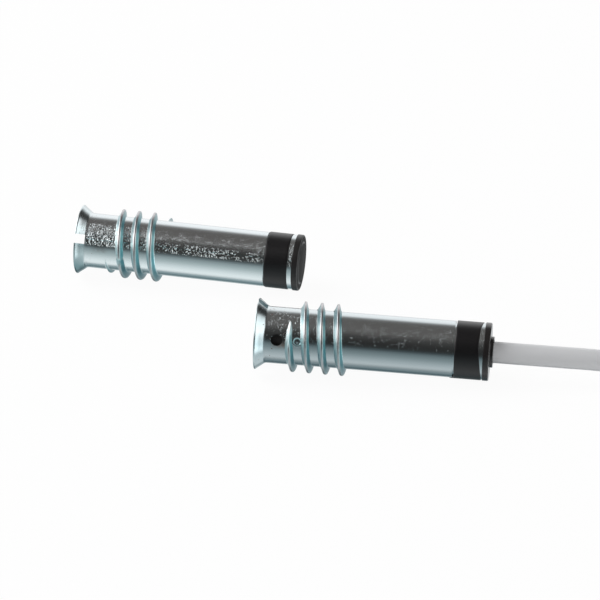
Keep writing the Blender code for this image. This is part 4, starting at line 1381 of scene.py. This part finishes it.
# Plugs. Moulded black ABS, pressed into the sleeve's rear end: a blank one on the magnet unit
# and one with a boss and a bore for the cable on the switch unit.
PLUG_RADIUS = 5.15
FLANGE_START = 40.7
SKIRT_START = 40.25
SKIRT_INSIDE = 5.02
SKIRT_EDGE = 0.06
FLANGE_END = 41.35
PLUG_EDGE = 0.25
SPIGOT_RADIUS = 3.95
SPIGOT_START = 36.35
PLUG_STEP_RADIUS = 3.7
PLUG_STEP_CURVE = ((-0.1, 0.14), (0.0, 0.11), (0.12, 0.02), (0.2, 0.0))
PLUG_AROUND = 96
MATT = 0.85
POLISHED = 0.38
POLISHED_RING = (-0.1, 0.25, 0.08)
POLISHED_RIM = {"From Min": PLUG_RADIUS - 0.4, "From Max": PLUG_RADIUS - 0.2}
BOSS_RADIUS = 2.75
BOSS_EDGE = 0.08
BOSS_FOOT = 0.05
CABLE_BORE = 2.05
BORE_MOUTH = (0.12, 0.15)


def plug_rim():
    """The flange from its end face round to the spigot's inner end."""
    return [
        *outline_arc(PLUG_RADIUS - PLUG_EDGE, FLANGE_END - PLUG_EDGE, PLUG_EDGE, 90, 0, 5),
        (PLUG_RADIUS, SKIRT_START + SKIRT_EDGE),
        (PLUG_RADIUS - SKIRT_EDGE, SKIRT_START),
        (SKIRT_INSIDE, SKIRT_START),
        (SKIRT_INSIDE, FLANGE_START),
        (SPIGOT_RADIUS, FLANGE_START),
        (SPIGOT_RADIUS, SPIGOT_START),
    ]


# The switch unit's plug comes from a polished mould, so it shines. The magnet unit's has a finely
# eroded face, which looks dark grey and dry, between a polished step and a polished rim.
abs_plastic = new_material("moulded_black_abs", "242222", 0.16)
matt_abs = new_material("matt_moulded_black_abs", "1f1d1d", 0.45)
tree = matt_abs.node_tree
flattened = add_node(
    tree,
    "ShaderNodeVectorMath",
    {"operation": "MULTIPLY"},
    {0: place_in_unit(tree, MAGNET_FRAME), 1: (1.0, 1.0, 0.0)},
)
off_axis = add_node(
    tree, "ShaderNodeVectorMath", {"operation": "LENGTH"}, {0: flattened}
).outputs["Value"]
ring_in, ring_out, ring_softness = POLISHED_RING
ring = band(tree, off_axis, PLUG_STEP_RADIUS + ring_in, PLUG_STEP_RADIUS + ring_out, ring_softness)
rim = add_node(tree, "ShaderNodeMapRange", SMOOTH, {"Value": off_axis, **POLISHED_RIM})
polished = add_node(tree, "ShaderNodeMath", {"operation": "MAXIMUM"}, {0: ring, 1: rim})
roughness = add_node(
    tree, "ShaderNodeMapRange", inputs={"Value": polished, "To Min": MATT, "To Max": POLISHED}
)
tree.links.new(roughness.outputs[0], tree.nodes["Principled BSDF"].inputs["Roughness"])
blank_outline = [
    (0, FLANGE_END + PLUG_STEP_CURVE[0][1]),
    *[(PLUG_STEP_RADIUS + out, FLANGE_END + raised) for out, raised in PLUG_STEP_CURVE],
    *plug_rim(),
    (0, SPIGOT_START),
]
boss_outline = [
    (CABLE_BORE, BOSS_END - BORE_MOUTH[1]),
    (CABLE_BORE + BORE_MOUTH[0], BOSS_END),
    *outline_arc(BOSS_RADIUS - BOSS_EDGE, BOSS_END - BOSS_EDGE, BOSS_EDGE, 90, 0),
    (BOSS_RADIUS, FLANGE_END + BOSS_FOOT),
    (BOSS_RADIUS + BOSS_FOOT, FLANGE_END),
    *plug_rim(),
    (CABLE_BORE, SPIGOT_START),
]
PLUGS = (
    # unit, its frame, outline, whether the outline is closed, plastic
    ("magnet", MAGNET_FRAME, blank_outline, False, matt_abs),
    ("switch", SWITCH_FRAME, boss_outline, True, abs_plastic),
)
for unit_name, unit, outline, closed, plastic in PLUGS:
    plug = lathe(f"{unit_name}_unit_plug", outline, PLUG_AROUND, closed)
    settle(plug, unit)
    smooth_shade(plug)
    dress(plug, plastic, "black_plastic", f"{unit_name}_end_plug")


# Capsules and what they hold. The capsules are black mouldings whose closed ends show at the
# bottom of the heads' mouths. The reed, its wires and the magnet are hidden in them.

# The capsules are satin black and the foam is dry and grey. The ground magnet, the drawn blades
# and the solder are metals from dull to bright. The reed's glass is clear and greenish, and the
# resin cast round the cores is amber.
INNER_FINISHES = {
    "black_plastic": new_material("moulded_black_capsule", "1d1b1a", 0.5),
    "magnet_alloy": new_material("ground_alnico", "a9a6a2", 0.35, 1.0),
    "grey_foam": new_material("cut_grey_foam", "868688", 0.95),
    "reed_glass": new_material(
        "drawn_reed_glass", "cfe6dc", 0.05, 0.0, IOR=1.5, Transmission_Weight=1.0
    ),
    "nickel_iron": new_material("drawn_nickel_iron", "c9c5bd", 0.3, 1.0),
    "solder": new_material("flowed_tin_solder", "d3d3d4", 0.25, 1.0),
    "epoxy": new_material("cast_epoxy", "a0855e", 0.3),
    "red_wire": new_material("extruded_red_wire_pvc", "b03a33", 0.4),
    "core_white": bpy.data.materials["extruded_white_core_pvc"],
    "core_brown": bpy.data.materials["extruded_brown_core_pvc"],
    "core_green": bpy.data.materials["extruded_green_core_pvc"],
    "core_yellow": bpy.data.materials["extruded_yellow_core_pvc"],
}
for subpart in frame["record"]["subparts"]:
    node = frame["nodes"][subpart["node"]]
    if node.hide_render:
        continue
    node.data.materials.clear()
    node.data.materials.append(INNER_FINISHES[subpart["material_slot"]])
